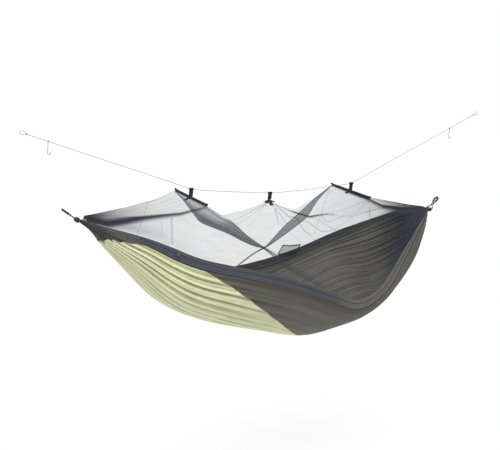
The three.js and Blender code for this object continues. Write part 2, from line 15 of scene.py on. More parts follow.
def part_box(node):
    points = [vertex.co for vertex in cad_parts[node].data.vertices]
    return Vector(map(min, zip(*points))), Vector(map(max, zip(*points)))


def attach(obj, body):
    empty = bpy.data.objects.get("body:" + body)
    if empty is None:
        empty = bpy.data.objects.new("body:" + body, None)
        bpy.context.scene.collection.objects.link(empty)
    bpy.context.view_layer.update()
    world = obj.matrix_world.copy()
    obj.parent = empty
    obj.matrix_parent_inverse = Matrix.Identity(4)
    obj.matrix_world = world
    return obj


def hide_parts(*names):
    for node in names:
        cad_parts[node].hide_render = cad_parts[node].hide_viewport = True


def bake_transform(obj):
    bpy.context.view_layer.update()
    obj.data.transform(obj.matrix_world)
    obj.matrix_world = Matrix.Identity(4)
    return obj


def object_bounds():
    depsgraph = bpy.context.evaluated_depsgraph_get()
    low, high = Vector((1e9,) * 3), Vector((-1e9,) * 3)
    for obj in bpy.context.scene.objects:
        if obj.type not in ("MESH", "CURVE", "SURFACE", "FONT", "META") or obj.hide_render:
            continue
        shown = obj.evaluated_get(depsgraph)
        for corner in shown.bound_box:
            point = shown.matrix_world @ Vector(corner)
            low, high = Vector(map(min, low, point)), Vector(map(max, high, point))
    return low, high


bl_info = {
    "name": "Camping Hammock",
    "version": (1, 0, 0),
    "blender": (4, 5, 0),
    "location": "View3D > Sidebar > Hammock",
    "description": "Cloth, net, cords and fittings of a camping hammock",
    "category": "Add Mesh",
}

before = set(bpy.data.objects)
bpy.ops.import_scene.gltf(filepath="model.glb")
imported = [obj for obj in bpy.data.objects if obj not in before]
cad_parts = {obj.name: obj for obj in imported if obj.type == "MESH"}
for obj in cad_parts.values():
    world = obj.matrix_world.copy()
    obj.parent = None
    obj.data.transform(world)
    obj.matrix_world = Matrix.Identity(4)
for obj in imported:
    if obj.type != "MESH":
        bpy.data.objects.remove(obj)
CAD_BOX = [list(corner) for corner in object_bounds()]
MM = 0.001


def centre_of(node):
    """The middle of a node of the frame."""
    low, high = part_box(node)
    return (low + high) / 2


MIDDLE = (centre_of("end_channel_foot") + centre_of("end_channel_head")) / 2
CHANNEL_X = (centre_of("end_channel_head") - MIDDLE).x
FABRIC_X = 1128 * MM
SPREADER_X = 522 * MM
CENTRE_X = -30 * MM
FOOT_SLOPE = math.radians(35)
HEAD_SLOPE = math.radians(52)
BAND_BELOW = 19.5 * MM
BAND_ABOVE = 22 * MM
EDGE_DROP = 30 * MM
HEM_DROP = 23 * MM
HEM_GAP = 2.5 * MM
SKIRT_LEAN = 4 * MM

# Hung shape from the foot end to the head end:
# x, near rim y and z, far rim y and z, lowest line y and z.
HANG = MM * np.array([
    (-1128, -12, 5, 12, 5, 0, -12),
    (-1050, -70, -17, 70, -30, 0, -70),
    (-840, -198, -73, 198, -160, -10, -262),
    (-600, -297, -166, 297, -320, -20, -476),
    (-350, -365, -218, 365, -425, -25, -590),
    (-50, -400, -292, 400, -450, -25, -668),
    (200, -390, -380, 390, -412, -20, -703),
    (420, -350, -450, 350, -338, -15, -600),
    (640, -285, -385, 285, -226, -10, -515),
    (840, -195, -200, 200, -122, -5, -480),
    (1020, -100, -46, 100, -24, 0, -345),
    (1085, -55, -12, 55, -6, 0, -205),
    (1128, -12, 5, 12, 5, 0, -20),
])

# Top of the net: x, height, half width of the flat top.
NET_TOP = MM * np.array([
    (-1122, 18, 9), (-1000, 24, 52), (-840, 34, 112), (-656, 60, 160), (-522, 101, 198),
    (-400, 36, 150), (-275, -24, 92), (-150, 18, 46), (-30, 76, 9), (80, 32, 44),
    (200, 2, 84), (360, 46, 146), (522, 122, 198), (656, 72, 160), (850, 44, 106),
    (1010, 26, 48), (1122, 18, 9),
])

# Ridge line from its foot knot to its head knot, in the plane of the hang: x, z.
RIDGE_ROUTE = [
    (-1408, 424), (-1309, 393), (-1180, 353), (-1050, 313), (-920, 273), (-790, 233),
    (-660, 193), (-560, 161), (-522, 150), (-480, 144), (-360, 136), (-200, 128),
    (-30, 122), (120, 130), (280, 144), (430, 160), (522, 172), (570, 194),
    (680, 249), (800, 307), (920, 365), (1040, 423), (1150, 476), (1223, 511),
    (1310, 554), (1400, 597),
]


# ---- shapes of the hang ----------------------------------------------------


def smooth_column(table, index):
    """Smooth value of one column of a table whose first column is x."""
    xs, ys = table[:, 0], table[:, index]
    place = np.arange(len(xs))
    after, before = np.minimum(place + 1, len(xs) - 1), np.maximum(place - 1, 0)
    slopes = (ys[after] - ys[before]) / (xs[after] - xs[before])

    def value(x):
        i = np.searchsorted(xs[1:-1], x)
        span = xs[i + 1] - xs[i]
        t = np.clip((x - xs[i]) / span, 0, 1)
        return (
            (2 * t**3 - 3 * t**2 + 1) * ys[i]
            + (t**3 - 2 * t**2 + t) * span * slopes[i]
            + (3 * t**2 - 2 * t**3) * ys[i + 1]
            + (t**3 - t**2) * span * slopes[i + 1]
        )

    return value


near_y, near_z, far_y, far_z, keel_y, keel_z = (smooth_column(HANG, i) for i in range(1, 7))
RIMS = {"near": (near_y, near_z, 1), "far": (far_y, far_z, -1)}


def net_z(x):
    """Height of the net's top at x."""
    return np.interp(x, NET_TOP[:, 0], NET_TOP[:, 1])


def net_half(x):
    """Half width of the net's flat top at x."""
    return np.interp(x, NET_TOP[:, 0], NET_TOP[:, 2])


def line_z(x):
    """Height of the ridge line at x."""
    return np.interp(x, [p[0] * MM for p in RIDGE_ROUTE], [p[1] * MM for p in RIDGE_ROUTE])


def gather(x):
    """What is sewn along the rim shrinks into the gathers at the ends."""
    return np.clip((FABRIC_X - np.abs(x)) / (420 * MM), 0.12, 1)


def smoothstep(low, high, value):
    """0 below low, 1 above high, and smooth between them."""
    t = np.clip((value - low) / (high - low), 0, 1)
    return t * t * (3 - 2 * t)


def band_above(side, x):
    """The skirt's top above the rim: the near one narrows beside the lying head."""
    if side == "far":
        return np.full_like(x, 0.45 * BAND_ABOVE)
    return BAND_ABOVE - 18 * MM * smoothstep(180 * MM, 520 * MM, x)


def beside_rim(side, x, rise=0.0, extra=0.0, lean=0.0):
    """A point beside a rim: rise is square to the rim, and lean is inwards."""
    y, z, inward = RIMS[side]
    step = 4 * MM
    slope = (z(x + step) - z(x - step)) / (2 * step)
    lift = rise * gather(x) + extra
    square = np.hypot(1, slope)
    return np.stack(
        [x - slope * lift / square, y(x) + inward * lean * gather(x), z(x) + lift / square], -1
    )


def body_surface(x, v):
    """Across the body, v runs from the near top edge under the lying place to the far one."""
    near = beside_rim("near", x, -EDGE_DROP, -HEM_GAP)
    far = beside_rim("far", x, -EDGE_DROP, -HEM_GAP)
    middle = (near + far) / 2
    place = near + (far - near) * ((1 - np.cos(math.pi * v)) / 2)[..., None]
    pull = np.sin(math.pi * v)
    place[..., 2] += (keel_z(x) - middle[..., 2]) * pull
    place[..., 1] += (keel_y(x) - middle[..., 1]) * pull**2
    return place


def normals_of(points):
    """Unit normals of a grid of points."""
    along = np.gradient(points, axis=0)
    across = np.gradient(points, axis=1)
    normal = np.cross(along, across)
    return normal / np.maximum(np.linalg.norm(normal, axis=-1, keepdims=True), 1e-9)


def stretch(points):
    """Running length of a grid along its first and second direction."""
    steps = [np.linalg.norm(np.diff(points, axis=a), axis=-1).mean(1 - a) for a in (0, 1)]
    return [np.concatenate([[0], np.cumsum(s)]) for s in steps]


# ---- mesh helpers ----------------------------------------------------------


def deselect_all():
    """Leaves nothing selected."""
    for o in bpy.context.selected_objects:
        o.select_set(False)


def activate(obj):
    """Makes one object the only selected one, and the active one."""
    deselect_all()
    obj.select_set(True)
    bpy.context.view_layer.objects.active = obj
    return obj


def mesh_object(name, points, faces):
    """A new object from points in the hang's own frame."""
    mesh = bpy.data.meshes.new(name)
    placed = np.asarray(points, float).reshape(-1, 3) + np.array(MIDDLE)
    mesh.from_pydata(placed.tolist(), [], faces)
    obj = bpy.data.objects.new(name, mesh)
    bpy.context.scene.collection.objects.link(obj)
    mesh.polygons.foreach_set("use_smooth", [True] * len(mesh.polygons))
    return obj


def grid_faces(rows, columns):
    """Four-sided faces of a grid of points, row by row."""
    faces = []
    for i in range(rows - 1):
        for j in range(columns - 1):
            a, b = i * columns + j, i * columns + j + 1
            faces.append((a, a + columns, b + columns, b))
    return faces


def sheet_object(name, points, flat_uv=None):
    """One layer of cloth from a grid of points, with its cut in the UV map, in metres."""
    rows, columns = points.shape[:2]
    obj = mesh_object(name, points, grid_faces(rows, columns))
    if flat_uv is None:
        along, across = stretch(points)
        flat_uv = np.stack(np.meshgrid(along, across, indexing="ij"), -1)
    lay_uv(obj, flat_uv.reshape(-1, 2))
    return obj


def lay_uv(obj, per_vertex):
    """Gives each point its place on the flat cut."""
    layer = obj.data.uv_layers.new(name="cut")
    index = np.empty(len(obj.data.loops), int)
    obj.data.loops.foreach_get("vertex_index", index)
    layer.data.foreach_set("uv", np.asarray(per_vertex, float)[index].ravel())


def tube_object(name, rings, loop=False):
    """A tube through rings of points (n, sides, 3), with length and turn in its UV map."""
    count, sides = rings.shape[:2]
    doubled = np.concatenate([rings, rings[:, :1]], axis=1)
    along = np.concatenate(
        [[0], np.cumsum(np.linalg.norm(np.diff(rings.mean(1), axis=0), axis=-1))]
    )
    faces = grid_faces(count, sides + 1)
    uv = np.stack(np.meshgrid(along, np.linspace(0, 1, sides + 1), indexing="ij"), -1)
    if loop:
        faces += [
            ((count - 1) * (sides + 1) + j, j, j + 1, (count - 1) * (sides + 1) + j + 1)
            for j in range(sides)
        ]
    else:
        faces.append(tuple(range(sides)))
        faces.append(tuple((count - 1) * (sides + 1) + j for j in reversed(range(sides))))
    obj = mesh_object(name, doubled, faces)
    lay_uv(obj, uv.reshape(-1, 2))
    close_up(obj)
    return obj


def close_up(obj):
    """Joins doubled points and turns the faces outwards."""
    work = bmesh.new()
    work.from_mesh(obj.data)
    bmesh.ops.remove_doubles(work, verts=work.verts, dist=1e-6)
    bmesh.ops.recalc_face_normals(work, faces=work.faces)
    work.to_mesh(obj.data)
    work.free()


def rings_along(centres, radii, sides, side=(0, 1, 0), squash=1.0):
    """Rings round a line that lies near one plane, whose normal is side."""
    centres = np.asarray(centres, float)
    radii = np.broadcast_to(radii, len(centres))
    tangent = np.gradient(centres, axis=0)
    tangent /= np.linalg.norm(tangent, axis=1, keepdims=True)
    first = np.cross(side, tangent)
    first /= np.linalg.norm(first, axis=1, keepdims=True)
    second = np.cross(tangent, first)
    turn = np.linspace(0, 2 * math.pi, sides, endpoint=False)
    return (
        centres[:, None]
        + radii[:, None, None] * np.cos(turn)[None, :, None] * first[:, None]
        + squash * radii[:, None, None] * np.sin(turn)[None, :, None] * second[:, None]
    )


def smooth_line(points, count):
    """Evenly spaced points on a smooth curve through the given ones."""
    points = np.asarray(points, float)
    gaps = np.linalg.norm(np.diff(points, axis=0), axis=1)
    knots = np.concatenate([[0], np.cumsum(np.sqrt(gaps))])
    table = np.column_stack([knots, points])
    fine = np.linspace(0, knots[-1], 40 * len(points))
    dense = np.stack([smooth_column(table, i + 1)(fine) for i in range(points.shape[1])], -1)
    length = np.concatenate([[0], np.cumsum(np.linalg.norm(np.diff(dense, axis=0), axis=1))])
    even = np.linspace(0, length[-1], count)
    return np.stack([np.interp(even, length, dense[:, i]) for i in range(points.shape[1])], -1)


def thicken(obj, thickness):
    """Gives a sheet its thickness, half on each side, applied."""
    solid = obj.modifiers.new("wall", "SOLIDIFY")
    solid.thickness = thickness
    solid.offset = 0.0
    solid.use_even_offset = False
    activate(obj)
    bpy.ops.object.modifier_apply(modifier=solid.name)
    return obj


def point_value(obj, name, values):
    """Stores one number per point, which the finishes read."""
    layer = obj.data.attributes.new(name, "FLOAT", "POINT")
    layer.data.foreach_set("value", np.asarray(values, np.float32).ravel())


def vertex_places(obj):
    """Where a piece's points are, in the hang's own frame."""
    places = np.empty(3 * len(obj.data.vertices))
    obj.data.vertices.foreach_get("co", places)
    return places.reshape(-1, 3) - np.array(MIDDLE)


def dress(obj, material, body, replaces=()):
    """Material, body, and the frame's nodes that the piece stands for."""
    obj.data.materials.clear()
    obj.data.materials.append(material)
    if body:
        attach(obj, body)
    if replaces:
        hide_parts(*replaces)
    return obj


# ---- finishes --------------------------------------------------------------

WEAVE_PITCH = 1.6 * MM


def srgb(*levels):
    """Linear colour from the usual 0 to 255 levels."""
    return tuple(
        (c / 12.92 if c <= 0.04045 else ((c + 0.055) / 1.055) ** 2.4)
        for c in (level / 255 for level in levels)
    )


class NodeTree:
    """A material's node tree, with one call for a node and its links."""

    def __init__(self, name, roughness=0.7, **fixed):
        self.material = bpy.data.materials.new(name)
        self.material.use_nodes = True
        self.tree = self.material.node_tree
        self.shader = self.tree.nodes["Principled BSDF"]
        self.shader.inputs["Roughness"].default_value = roughness
        for socket, value in fixed.items():
            self.shader.inputs[socket.replace("_", " ")].default_value = value

    def node(self, kind, inputs=(), **settings):
        made = self.tree.nodes.new(kind)
        for key, value in settings.items():
            setattr(made, key, value)
        for key, value in dict(inputs).items():
            if isinstance(value, bpy.types.NodeSocket):
                self.tree.links.new(value, made.inputs[key])
            else:
                made.inputs[key].default_value = value
        return made

    def feed(self, socket, source):
        self.tree.links.new(source, self.shader.inputs[socket])

    def cut(self, scale=(1, 1, 1), turn=0.0):
        """The cloth's own flat coordinates."""
        uv = self.node("ShaderNodeUVMap", uv_map="cut")
        return self.node(
            "ShaderNodeMapping",
            {"Vector": uv.outputs[0], "Scale": scale, "Rotation": (0, 0, turn)},
        ).outputs[0]

    def place(self, scale=(1, 1, 1)):
        where = self.node("ShaderNodeTexCoord")
        return self.node(
            "ShaderNodeMapping", {"Vector": where.outputs["Object"], "Scale": scale}
        ).outputs[0]

    def noise(self, vector, scale, detail=3.0, rough=0.55):
        return self.node(
            "ShaderNodeTexNoise",
            {"Vector": vector, "Scale": scale, "Detail": detail, "Roughness": rough},
        ).outputs[0]

    def wave(self, vector, scale, direction):
        return self.node(
            "ShaderNodeTexWave",
            {"Vector": vector, "Scale": scale, "Distortion": 0.0},
            wave_type="BANDS",
            bands_direction=direction,
            wave_profile="SIN",
        ).outputs["Fac"]

    def maths(self, operation, *values, clamp=False):
        made = self.tree.nodes.new("ShaderNodeMath")
        made.operation = operation
        made.use_clamp = clamp
        for socket, value in zip(made.inputs, values):
            if isinstance(value, bpy.types.NodeSocket):
                self.tree.links.new(value, socket)
            else:
                socket.default_value = value
        return made.outputs[0]

    def ramp(self, factor, stops):
        made = self.node("ShaderNodeValToRGB", {"Fac": factor})
        elements = made.color_ramp.elements
        while len(elements) < len(stops):
            elements.new(0.5)
        for element, (position, colour) in zip(elements, stops):
            element.position = position
            element.color = (*colour, 1)
        return made.outputs[0]

    def mix(self, factor, a, b):
        made = self.node("ShaderNodeMix", data_type="RGBA", blend_type="MIX")
        for socket, value in zip((made.inputs[0], made.inputs[6], made.inputs[7]), (factor, a, b)):
            if isinstance(value, bpy.types.NodeSocket):
                self.tree.links.new(value, socket)
            else:
                socket.default_value = (*value, 1) if isinstance(value, tuple) else value
        return made.outputs[2]

    def bump(self, height, strength, distance):
        made = self.node(
            "ShaderNodeBump", {"Height": height, "Strength": strength, "Distance": distance}
        )
        self.feed("Normal", made.outputs[0])


def ripstop(name, light, dark, streak_shade_share=0.5, crease_shade=0.0, shade_and_tone_colour=None, **fixed):
    """Light ripstop cloth: grid of thicker threads, painted shade in streaks towards the gathers and in
    creases.

    The piece's crease values paint shade into the valleys of its pleats and light onto their crests,
    and its second point value turns it to a second colour, which on the panels is a painted shadow
    under the rim band."""
    t = NodeTree(name, roughness=0.62, **fixed)
    # painted pleat shade: streaks that run towards the gathers darken the cloth; the mottle is random
    # tone
    streak_shade = t.noise(t.cut((0.7, 16, 1)), 2.2, 4)
    mottle = t.noise(t.cut((3.1, 5.3, 1)), 2.0, 3)
    tone = t.maths("MULTIPLY_ADD", streak_shade, streak_shade_share, t.maths("MULTIPLY", mottle, 1 - streak_shade_share))
    # painted shade in the valleys of the pleats and painted light on their crests, from each point's
    # crease value
    if crease_shade:
        fold = t.node("ShaderNodeAttribute", attribute_name="crease_shade").outputs["Fac"]
        tone = t.maths("MULTIPLY_ADD", fold, crease_shade, tone)
    middle = tuple((a + b) / 2 for a, b in zip(light, dark))
    # the ramp runs from the painted-shade tone through the middle to the lit tone of the cloth
    colour = t.ramp(tone, [(0.24, dark), (0.48, middle), (0.74, light)])
    # turns the cloth to its second colour by each point's value: a painted shadow under the rim band on
    # the panels, a plain change of tone elsewhere
    if shade_and_tone_colour:
        shade_and_tone = t.node("ShaderNodeAttribute", attribute_name="shade_and_tone").outputs["Fac"]
        colour = t.mix(shade_and_tone, colour, shade_and_tone_colour)
    grid = t.maths(
        "MAXIMUM",
        t.maths("GREATER_THAN", t.wave(t.cut(), 31.8, "X"), 0.97),
        t.maths("GREATER_THAN", t.wave(t.cut(), 31.8, "Y"), 0.97),
    )
    colour = t.mix(t.maths("MULTIPLY", grid, 0.12), colour, light)
    t.feed("Base Color", colour)
    creases = t.noise(t.cut((2.5, 9, 1)), 5.0, 5, 0.62)
    t.bump(t.maths("MULTIPLY_ADD", grid, 0.06, creases), 0.45, 0.005)
    rough = t.maths("MULTIPLY_ADD", mottle, 0.25, 0.5)
    t.feed("Roughness", rough)
    return t.material


def netting(name, colour, open_share, gathered_share):
    """Insect net: fine holes, closing where the cloth is gathered into folds, with painted shade
    darkening its colour there.
    """
    t = NodeTree(name, roughness=0.85)
    tint = t.ramp(t.noise(t.cut(), 9.0, 3), [(0.3, colour), (0.7, tuple(1.25 * c for c in colour))])
    bunched = t.node("ShaderNodeAttribute", attribute_name="gathered").outputs["Fac"]
    # painted shade in the gathered folds: the net's colour darkens where it is gathered
    deep = t.maths("POWER", bunched, 1.6, clamp=True)
    t.feed("Base Color", t.mix(deep, tint, tuple(0.22 * c for c in colour)))
    threads = t.maths(
        "MAXIMUM", t.wave(t.cut(), 250.0, "X"), t.wave(t.cut(), 250.0, "Y")
    )
    wisps = t.noise(t.cut((1.3, 7, 1)), 5.0, 4, 0.6)
    cover = t.maths("MULTIPLY_ADD", threads, 0.06, open_share - 0.06)
    cover = t.maths("MULTIPLY_ADD", t.maths("SUBTRACT", wisps, 0.45), 0.18, cover)
    layer = t.maths("SUBTRACT", 1.0, t.maths("MULTIPLY", bunched, gathered_share, clamp=True))
    gaps = t.maths("MULTIPLY", t.maths("MULTIPLY", layer, layer), t.maths("SUBTRACT", 1.0, cover))
    t.feed("Alpha", t.maths("MAXIMUM", t.maths("SUBTRACT", 1.0, gaps), 0.03))
    return t.material


def woven_tape(name, light, dark, thread=None):
    """Flat webbing or binding tape, with its diagonal weave and a stitched line."""
    t = NodeTree(name, roughness=0.8)
    weave = t.maths(
        "MULTIPLY",
        t.wave(t.cut((1, 1, 1), 0.78), 0.32 / WEAVE_PITCH, "X"),
        t.wave(t.cut((1, 1, 1), -0.78), 0.32 / WEAVE_PITCH, "X"),
    )
    worn = t.noise(t.place(), 60.0, 3)
    colour = t.ramp(t.maths("MULTIPLY_ADD", weave, 0.5, worn), [(0.4, dark), (1.0, light)])
    if thread:
        edge = t.node("ShaderNodeAttribute", attribute_name="stitched").outputs["Fac"]
        dashes = t.maths("GREATER_THAN", t.noise(t.place(), 420.0, 0.0), 0.47)
        line = t.maths("MULTIPLY", t.maths("GREATER_THAN", edge, 0.6), dashes)
        colour = t.mix(line, colour, thread)
    t.feed("Base Color", colour)
    t.bump(weave, 0.5, 0.0006)
    return t.material


def laid_cord(name, light, dark, turns):
    """Twisted or wrapped cord, striped round its own length."""
    t = NodeTree(name, roughness=0.75)
    strands = t.wave(t.cut((turns, 1, 1)), 0.32, "DIAGONAL")
    t.feed("Base Color", t.ramp(strands, [(0.3, dark), (0.62, light)]))
    t.bump(strands, 0.6, 0.0006)
    return t.material


def metal(name, colour, roughness):
    """Bare metal, a little scuffed."""
    t = NodeTree(name, roughness=roughness, Metallic=1.0)
    scuffs = t.noise(t.place(), 220.0, 4)
    t.feed("Base Color", t.ramp(scuffs, [(0.35, tuple(0.8 * c for c in colour)), (0.6, colour)]))
    t.feed("Roughness", t.maths("MULTIPLY_ADD", scuffs, 0.3, roughness - 0.1))
    return t.material


def moulded(name, colour, roughness):
    """Moulded plastic or rubber with a fine grain."""
    t = NodeTree(name, roughness=roughness)
    grain = t.noise(t.place(), 400.0, 4)
    t.feed("Base Color", t.ramp(grain, [(0.3, tuple(0.75 * c for c in colour)), (0.7, colour)]))
    t.bump(grain, 0.25, 0.0004)
    return t.material


def glass_rod(name, colour):
    """Fibreglass with its strands along the bar."""
    t = NodeTree(name, roughness=0.35)
    fibres = t.noise(t.place((1, 0.03, 1)), 900.0, 3)
    t.feed("Base Color", t.ramp(fibres, [(0.35, tuple(0.6 * c for c in colour)), (0.65, colour)]))
    t.bump(fibres, 0.2, 0.0003)
    return t.material


# ---- settings --------------------------------------------------------------


def colour_setting(name, description, levels):
    """A colour that a user may change, from 0 to 255 levels."""
    return bpy.props.FloatVectorProperty(
        name=name, description=description, subtype="COLOR", size=3, min=0, max=1,
        default=srgb(*levels),
    )


def length_setting(name, description, value, low=0.0001, high=1.0):
    """A length that a user may change, in metres."""
    return bpy.props.FloatProperty(
        name=name, description=description, default=value, min=low, max=high,
        subtype="DISTANCE", unit="LENGTH", precision=4,
    )


class HammockClothSettings(bpy.types.PropertyGroup):
    """Body cloth, panels and rim."""

    # each colour and its shade below are the lit tone and the painted-shade tone of one cloth; its
    # streaks and creases are painted between them
    olive: colour_setting("Olive", "Lit side of the body cloth", (120, 119, 106))
    olive_shade: colour_setting("Olive shade", "Streaks in the body cloth", (62, 58, 47))
    green: colour_setting("Green", "Outer foot panel", (216, 220, 180))
    green_shade: colour_setting("Green shade", "Streaks in the outer foot panel", (138, 144, 92))
    head: colour_setting("Head panel", "Outer head panel", (93, 93, 83))
    head_shade: colour_setting("Head panel shade", "Streaks in the head panel", (52, 51, 42))
    slate: colour_setting("Slate", "Opaque skirt of the net", (76, 80, 89))
    slate_shade: colour_setting("Slate shade", "Shaded threads of the skirt", (44, 46, 53))
    thickness: length_setting("Thickness", "Thickness of one layer of cloth", 0.0006)
    pleat_depth: length_setting("Pleat depth", "Depth of the pleats at the gathers", 0.011)
    panel_gap: length_setting("Panel gap", "Outer panels, outside the body cloth", 0.0045)


class HammockNetSettings(bpy.types.PropertyGroup):
    """Insect net."""

    tint: colour_setting("Net", "Threads of the net", (46, 52, 70))
    open_share: bpy.props.FloatProperty(
        name="Cover", description="Share that one layer of net covers",
        default=0.14, min=0.02, max=1.0, subtype="FACTOR",
    )
    gathered_share: bpy.props.FloatProperty(
        name="Gathered cover", description="Cover added where the net is gathered",
        default=0.95, min=0.0, max=1.0, subtype="FACTOR",
    )
    cell: length_setting("Cell", "Size of one facet of the net", 0.005)


class HammockFittingSettings(bpy.types.PropertyGroup):
    """Cords, webbing and fittings."""

    line_diameter: length_setting("Ridge line", "Diameter of the ridge line", 0.0024)
    loop_diameter: length_setting("Loop cord", "Diameter of the suspension cord", 0.006)
    # the webbing's shade is also the painted-shade tone of the sleeve cloth's streaks
    webbing: colour_setting("Webbing", "Straps, patches and sleeves", (34, 37, 43))
    webbing_shade: colour_setting("Webbing shade", "Shaded threads of the webbing", (14, 15, 18))
    line: colour_setting("Line", "Ridge line and whippings", (158, 160, 160))
    line_shade: colour_setting("Line shade", "Laid strands of the line", (112, 114, 114))
    steel: colour_setting("Steel", "Hooks and zip slider", (128, 130, 134))
    floor: colour_setting("Floor", "Studio floor", (108, 108, 108))


def cloth_settings():
    """Sizes and colours of the cloth."""
    return bpy.context.scene.hammock_cloth


def net_settings():
    """Cover and colour of the net."""
    return bpy.context.scene.hammock_net


def fitting_settings():
    """Sizes and colours of cords and fittings."""
    return bpy.context.scene.hammock_fittings


MATERIALS = {}


def finish(name):
    """Each finish is made once, the first time that a piece asks for it."""
    if name not in MATERIALS:
        cloth, net, parts = cloth_settings(), net_settings(), fitting_settings()
        dark, light = tuple(parts.webbing_shade), tuple(parts.webbing)
        makers = {
            # each ripstop gets its lit tone, its painted-shade tone and a second colour: a painted
            # shadow under the rim band for the head and green panels, a darker tone at the ends for the
            # body and knobs, the head panel's tone for the slate band
            "olive_cloth": lambda: ripstop(
                name, tuple(cloth.olive), tuple(cloth.olive_shade), 0.65, 0.24,
                shade_and_tone_colour=srgb(38, 39, 37)),
            "head_cloth": lambda: ripstop(
                name, tuple(cloth.head), tuple(cloth.head_shade), 0.65, 0.22,
                shade_and_tone_colour=srgb(58, 45, 33)),
            "green_cloth": lambda: ripstop(
                name, tuple(cloth.green), tuple(cloth.green_shade), 0.55, 0.26,
                shade_and_tone_colour=srgb(92, 94, 60), Sheen_Weight=0.15),
            "slate_cloth": lambda: ripstop(
                name, tuple(cloth.slate), tuple(cloth.slate_shade), 0.6,
                shade_and_tone_colour=tuple(cloth.head)),
            "insect_net": lambda: netting(
                name, tuple(net.tint), net.open_share, net.gathered_share),
            "black_webbing": lambda: woven_tape(name, light, dark, thread=srgb(74, 78, 86)),
            "net_binding": lambda: woven_tape(name, srgb(52, 56, 68), srgb(28, 31, 40)),
            "sleeve_cloth": lambda: ripstop(name, light, dark, 0.6),
            "pale_cord": lambda: laid_cord(
                name, tuple(parts.line), tuple(parts.line_shade), 330.0),
            "dark_cord": lambda: laid_cord(name, light, dark, 200.0),
            "whipping_cord": lambda: laid_cord(name, tuple(parts.line), light, 125.0),
            "steel": lambda: metal(name, tuple(parts.steel), 0.32),
            "black_rubber": lambda: moulded(name, srgb(28, 29, 32), 0.7),
            "fibreglass": lambda: glass_rod(name, srgb(52, 54, 58)),
            "zip_nylon": lambda: moulded(name, srgb(44, 47, 54), 0.5),
        }
        MATERIALS[name] = makers[name]()
    return MATERIALS[name]


def refinish(node, look):
    """Gives a node of the frame that stays in view its finish."""
    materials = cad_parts[node].data.materials
    materials.clear()
    materials.append(finish(look))


# ---- stage -----------------------------------------------------------------

VIEW_TARGET = Vector((-0.14, 0, -0.06))
VIEW_DISTANCE = 5.01
VIEW_TURN = math.radians(-30.8)
VIEW_RISE = math.radians(13.0)
VIEW_ROLL = math.radians(5.5)
LENS_MM = 64.8
SENSOR_MM = 36.0
ROOM_LIGHT = 0.5
FLOOR_GLOW = 0.84
FLOOR_DROP = 1.3
FLOOR_SIZE = 40


def view_axes():
    """The camera's right, up and backward directions."""
    back = Vector((
        math.sin(VIEW_TURN) * math.cos(VIEW_RISE),
        -math.cos(VIEW_TURN) * math.cos(VIEW_RISE),
        math.sin(VIEW_RISE),
    ))
    level = Vector((math.cos(VIEW_TURN), math.sin(VIEW_TURN), 0))
    upright = back.cross(level)
    right = math.cos(VIEW_ROLL) * level + math.sin(VIEW_ROLL) * upright
    up = math.cos(VIEW_ROLL) * upright - math.sin(VIEW_ROLL) * level
    return right, up, back


def soft_sun(name, towards, strength, spread):
    """A sun lamp with a wide disc, which gives soft shadows."""
    lamp = bpy.data.lights.new(name, "SUN")
    lamp.energy = strength
    lamp.angle = math.radians(spread)
    obj = bpy.data.objects.new(name, lamp)
    obj.rotation_euler = Vector(towards).to_track_quat("-Z", "Y").to_euler()
    bpy.context.scene.collection.objects.link(obj)


class HammockStage(bpy.types.Operator):
    """Camera, studio light and floor"""

    bl_idname = "hammock.stage"
    bl_label = "Stage"

    def execute(self, context):
        scene = context.scene
        scene.view_settings.view_transform = "Standard"
        camera = bpy.data.objects.new("camera", bpy.data.cameras.new("camera"))
        camera.data.lens = LENS_MM
        camera.data.sensor_width = SENSOR_MM
        right, up, back = view_axes()
        turned = Matrix((right, up, back)).transposed().to_4x4()
        place = VIEW_TARGET + VIEW_DISTANCE * back + MIDDLE
        camera.matrix_world = Matrix.Translation(place) @ turned
        scene.collection.objects.link(camera)
        scene.camera = camera

        low = Vector(CAD_BOX[0])
        deselect_all()
        bpy.ops.mesh.primitive_plane_add(
            size=FLOOR_SIZE, location=(MIDDLE.x, 0, low.z - FLOOR_DROP))
        floor = context.object
        floor.name = "studio_floor"
        t = NodeTree("studio_floor", roughness=0.95)
        level = tuple(fitting_settings().floor)
        t.feed("Base Color", t.ramp(t.noise(t.place(), 3.0), [
            (0.3, tuple(0.985 * c for c in level)), (0.7, level)]))
        t.shader.inputs["Emission Color"].default_value = (1, 1, 1, 1)
        t.shader.inputs["Emission Strength"].default_value = FLOOR_GLOW
        floor.data.materials.append(t.material)

        world = bpy.data.worlds.new("studio")
        world.use_nodes = True
        nodes, links = world.node_tree.nodes, world.node_tree.links
        light = nodes["Background"]
        light.inputs["Strength"].default_value = ROOM_LIGHT
        backdrop = nodes.new("ShaderNodeBackground")
        seen, either = nodes.new("ShaderNodeLightPath"), nodes.new("ShaderNodeMixShader")
        for background in (light, backdrop):
            background.inputs["Color"].default_value = (1, 1, 1, 1)
        links.new(seen.outputs["Is Camera Ray"], either.inputs[0])
        links.new(light.outputs[0], either.inputs[1])
        links.new(backdrop.outputs[0], either.inputs[2])
        links.new(either.outputs[0], nodes["World Output"].inputs[0])
        scene.world = world
        soft_sun("key", (0.42, 0.50, -0.76), 2.1, 25)
        soft_sun("fill", (-0.5, 0.35, -0.6), 0.5, 60)
        return {"FINISHED"}


# ---- cords -----------------------------------------------------------------


def curve_object(name, points, radius):
    """A cord as one smooth open curve, with its place in its points."""
    data = bpy.data.curves.new(name, "CURVE")
    data.dimensions = "3D"
    data.bevel_depth = radius
    data.bevel_resolution = 4
    data.resolution_u = 6
    data.use_fill_caps = True
    spline = data.splines.new("BEZIER")
    spline.bezier_points.add(len(points) - 1)
    for knot, place in zip(spline.bezier_points, points):
        knot.co = Vector(place) + MIDDLE
        knot.handle_left_type = knot.handle_right_type = "AUTO"
    obj = bpy.data.objects.new(name, data)
    bpy.context.scene.collection.objects.link(obj)
    return obj


def curve_length(points):
    """Length of a line through points."""
    return float(np.linalg.norm(np.diff(np.asarray(points), axis=0), axis=1).sum())


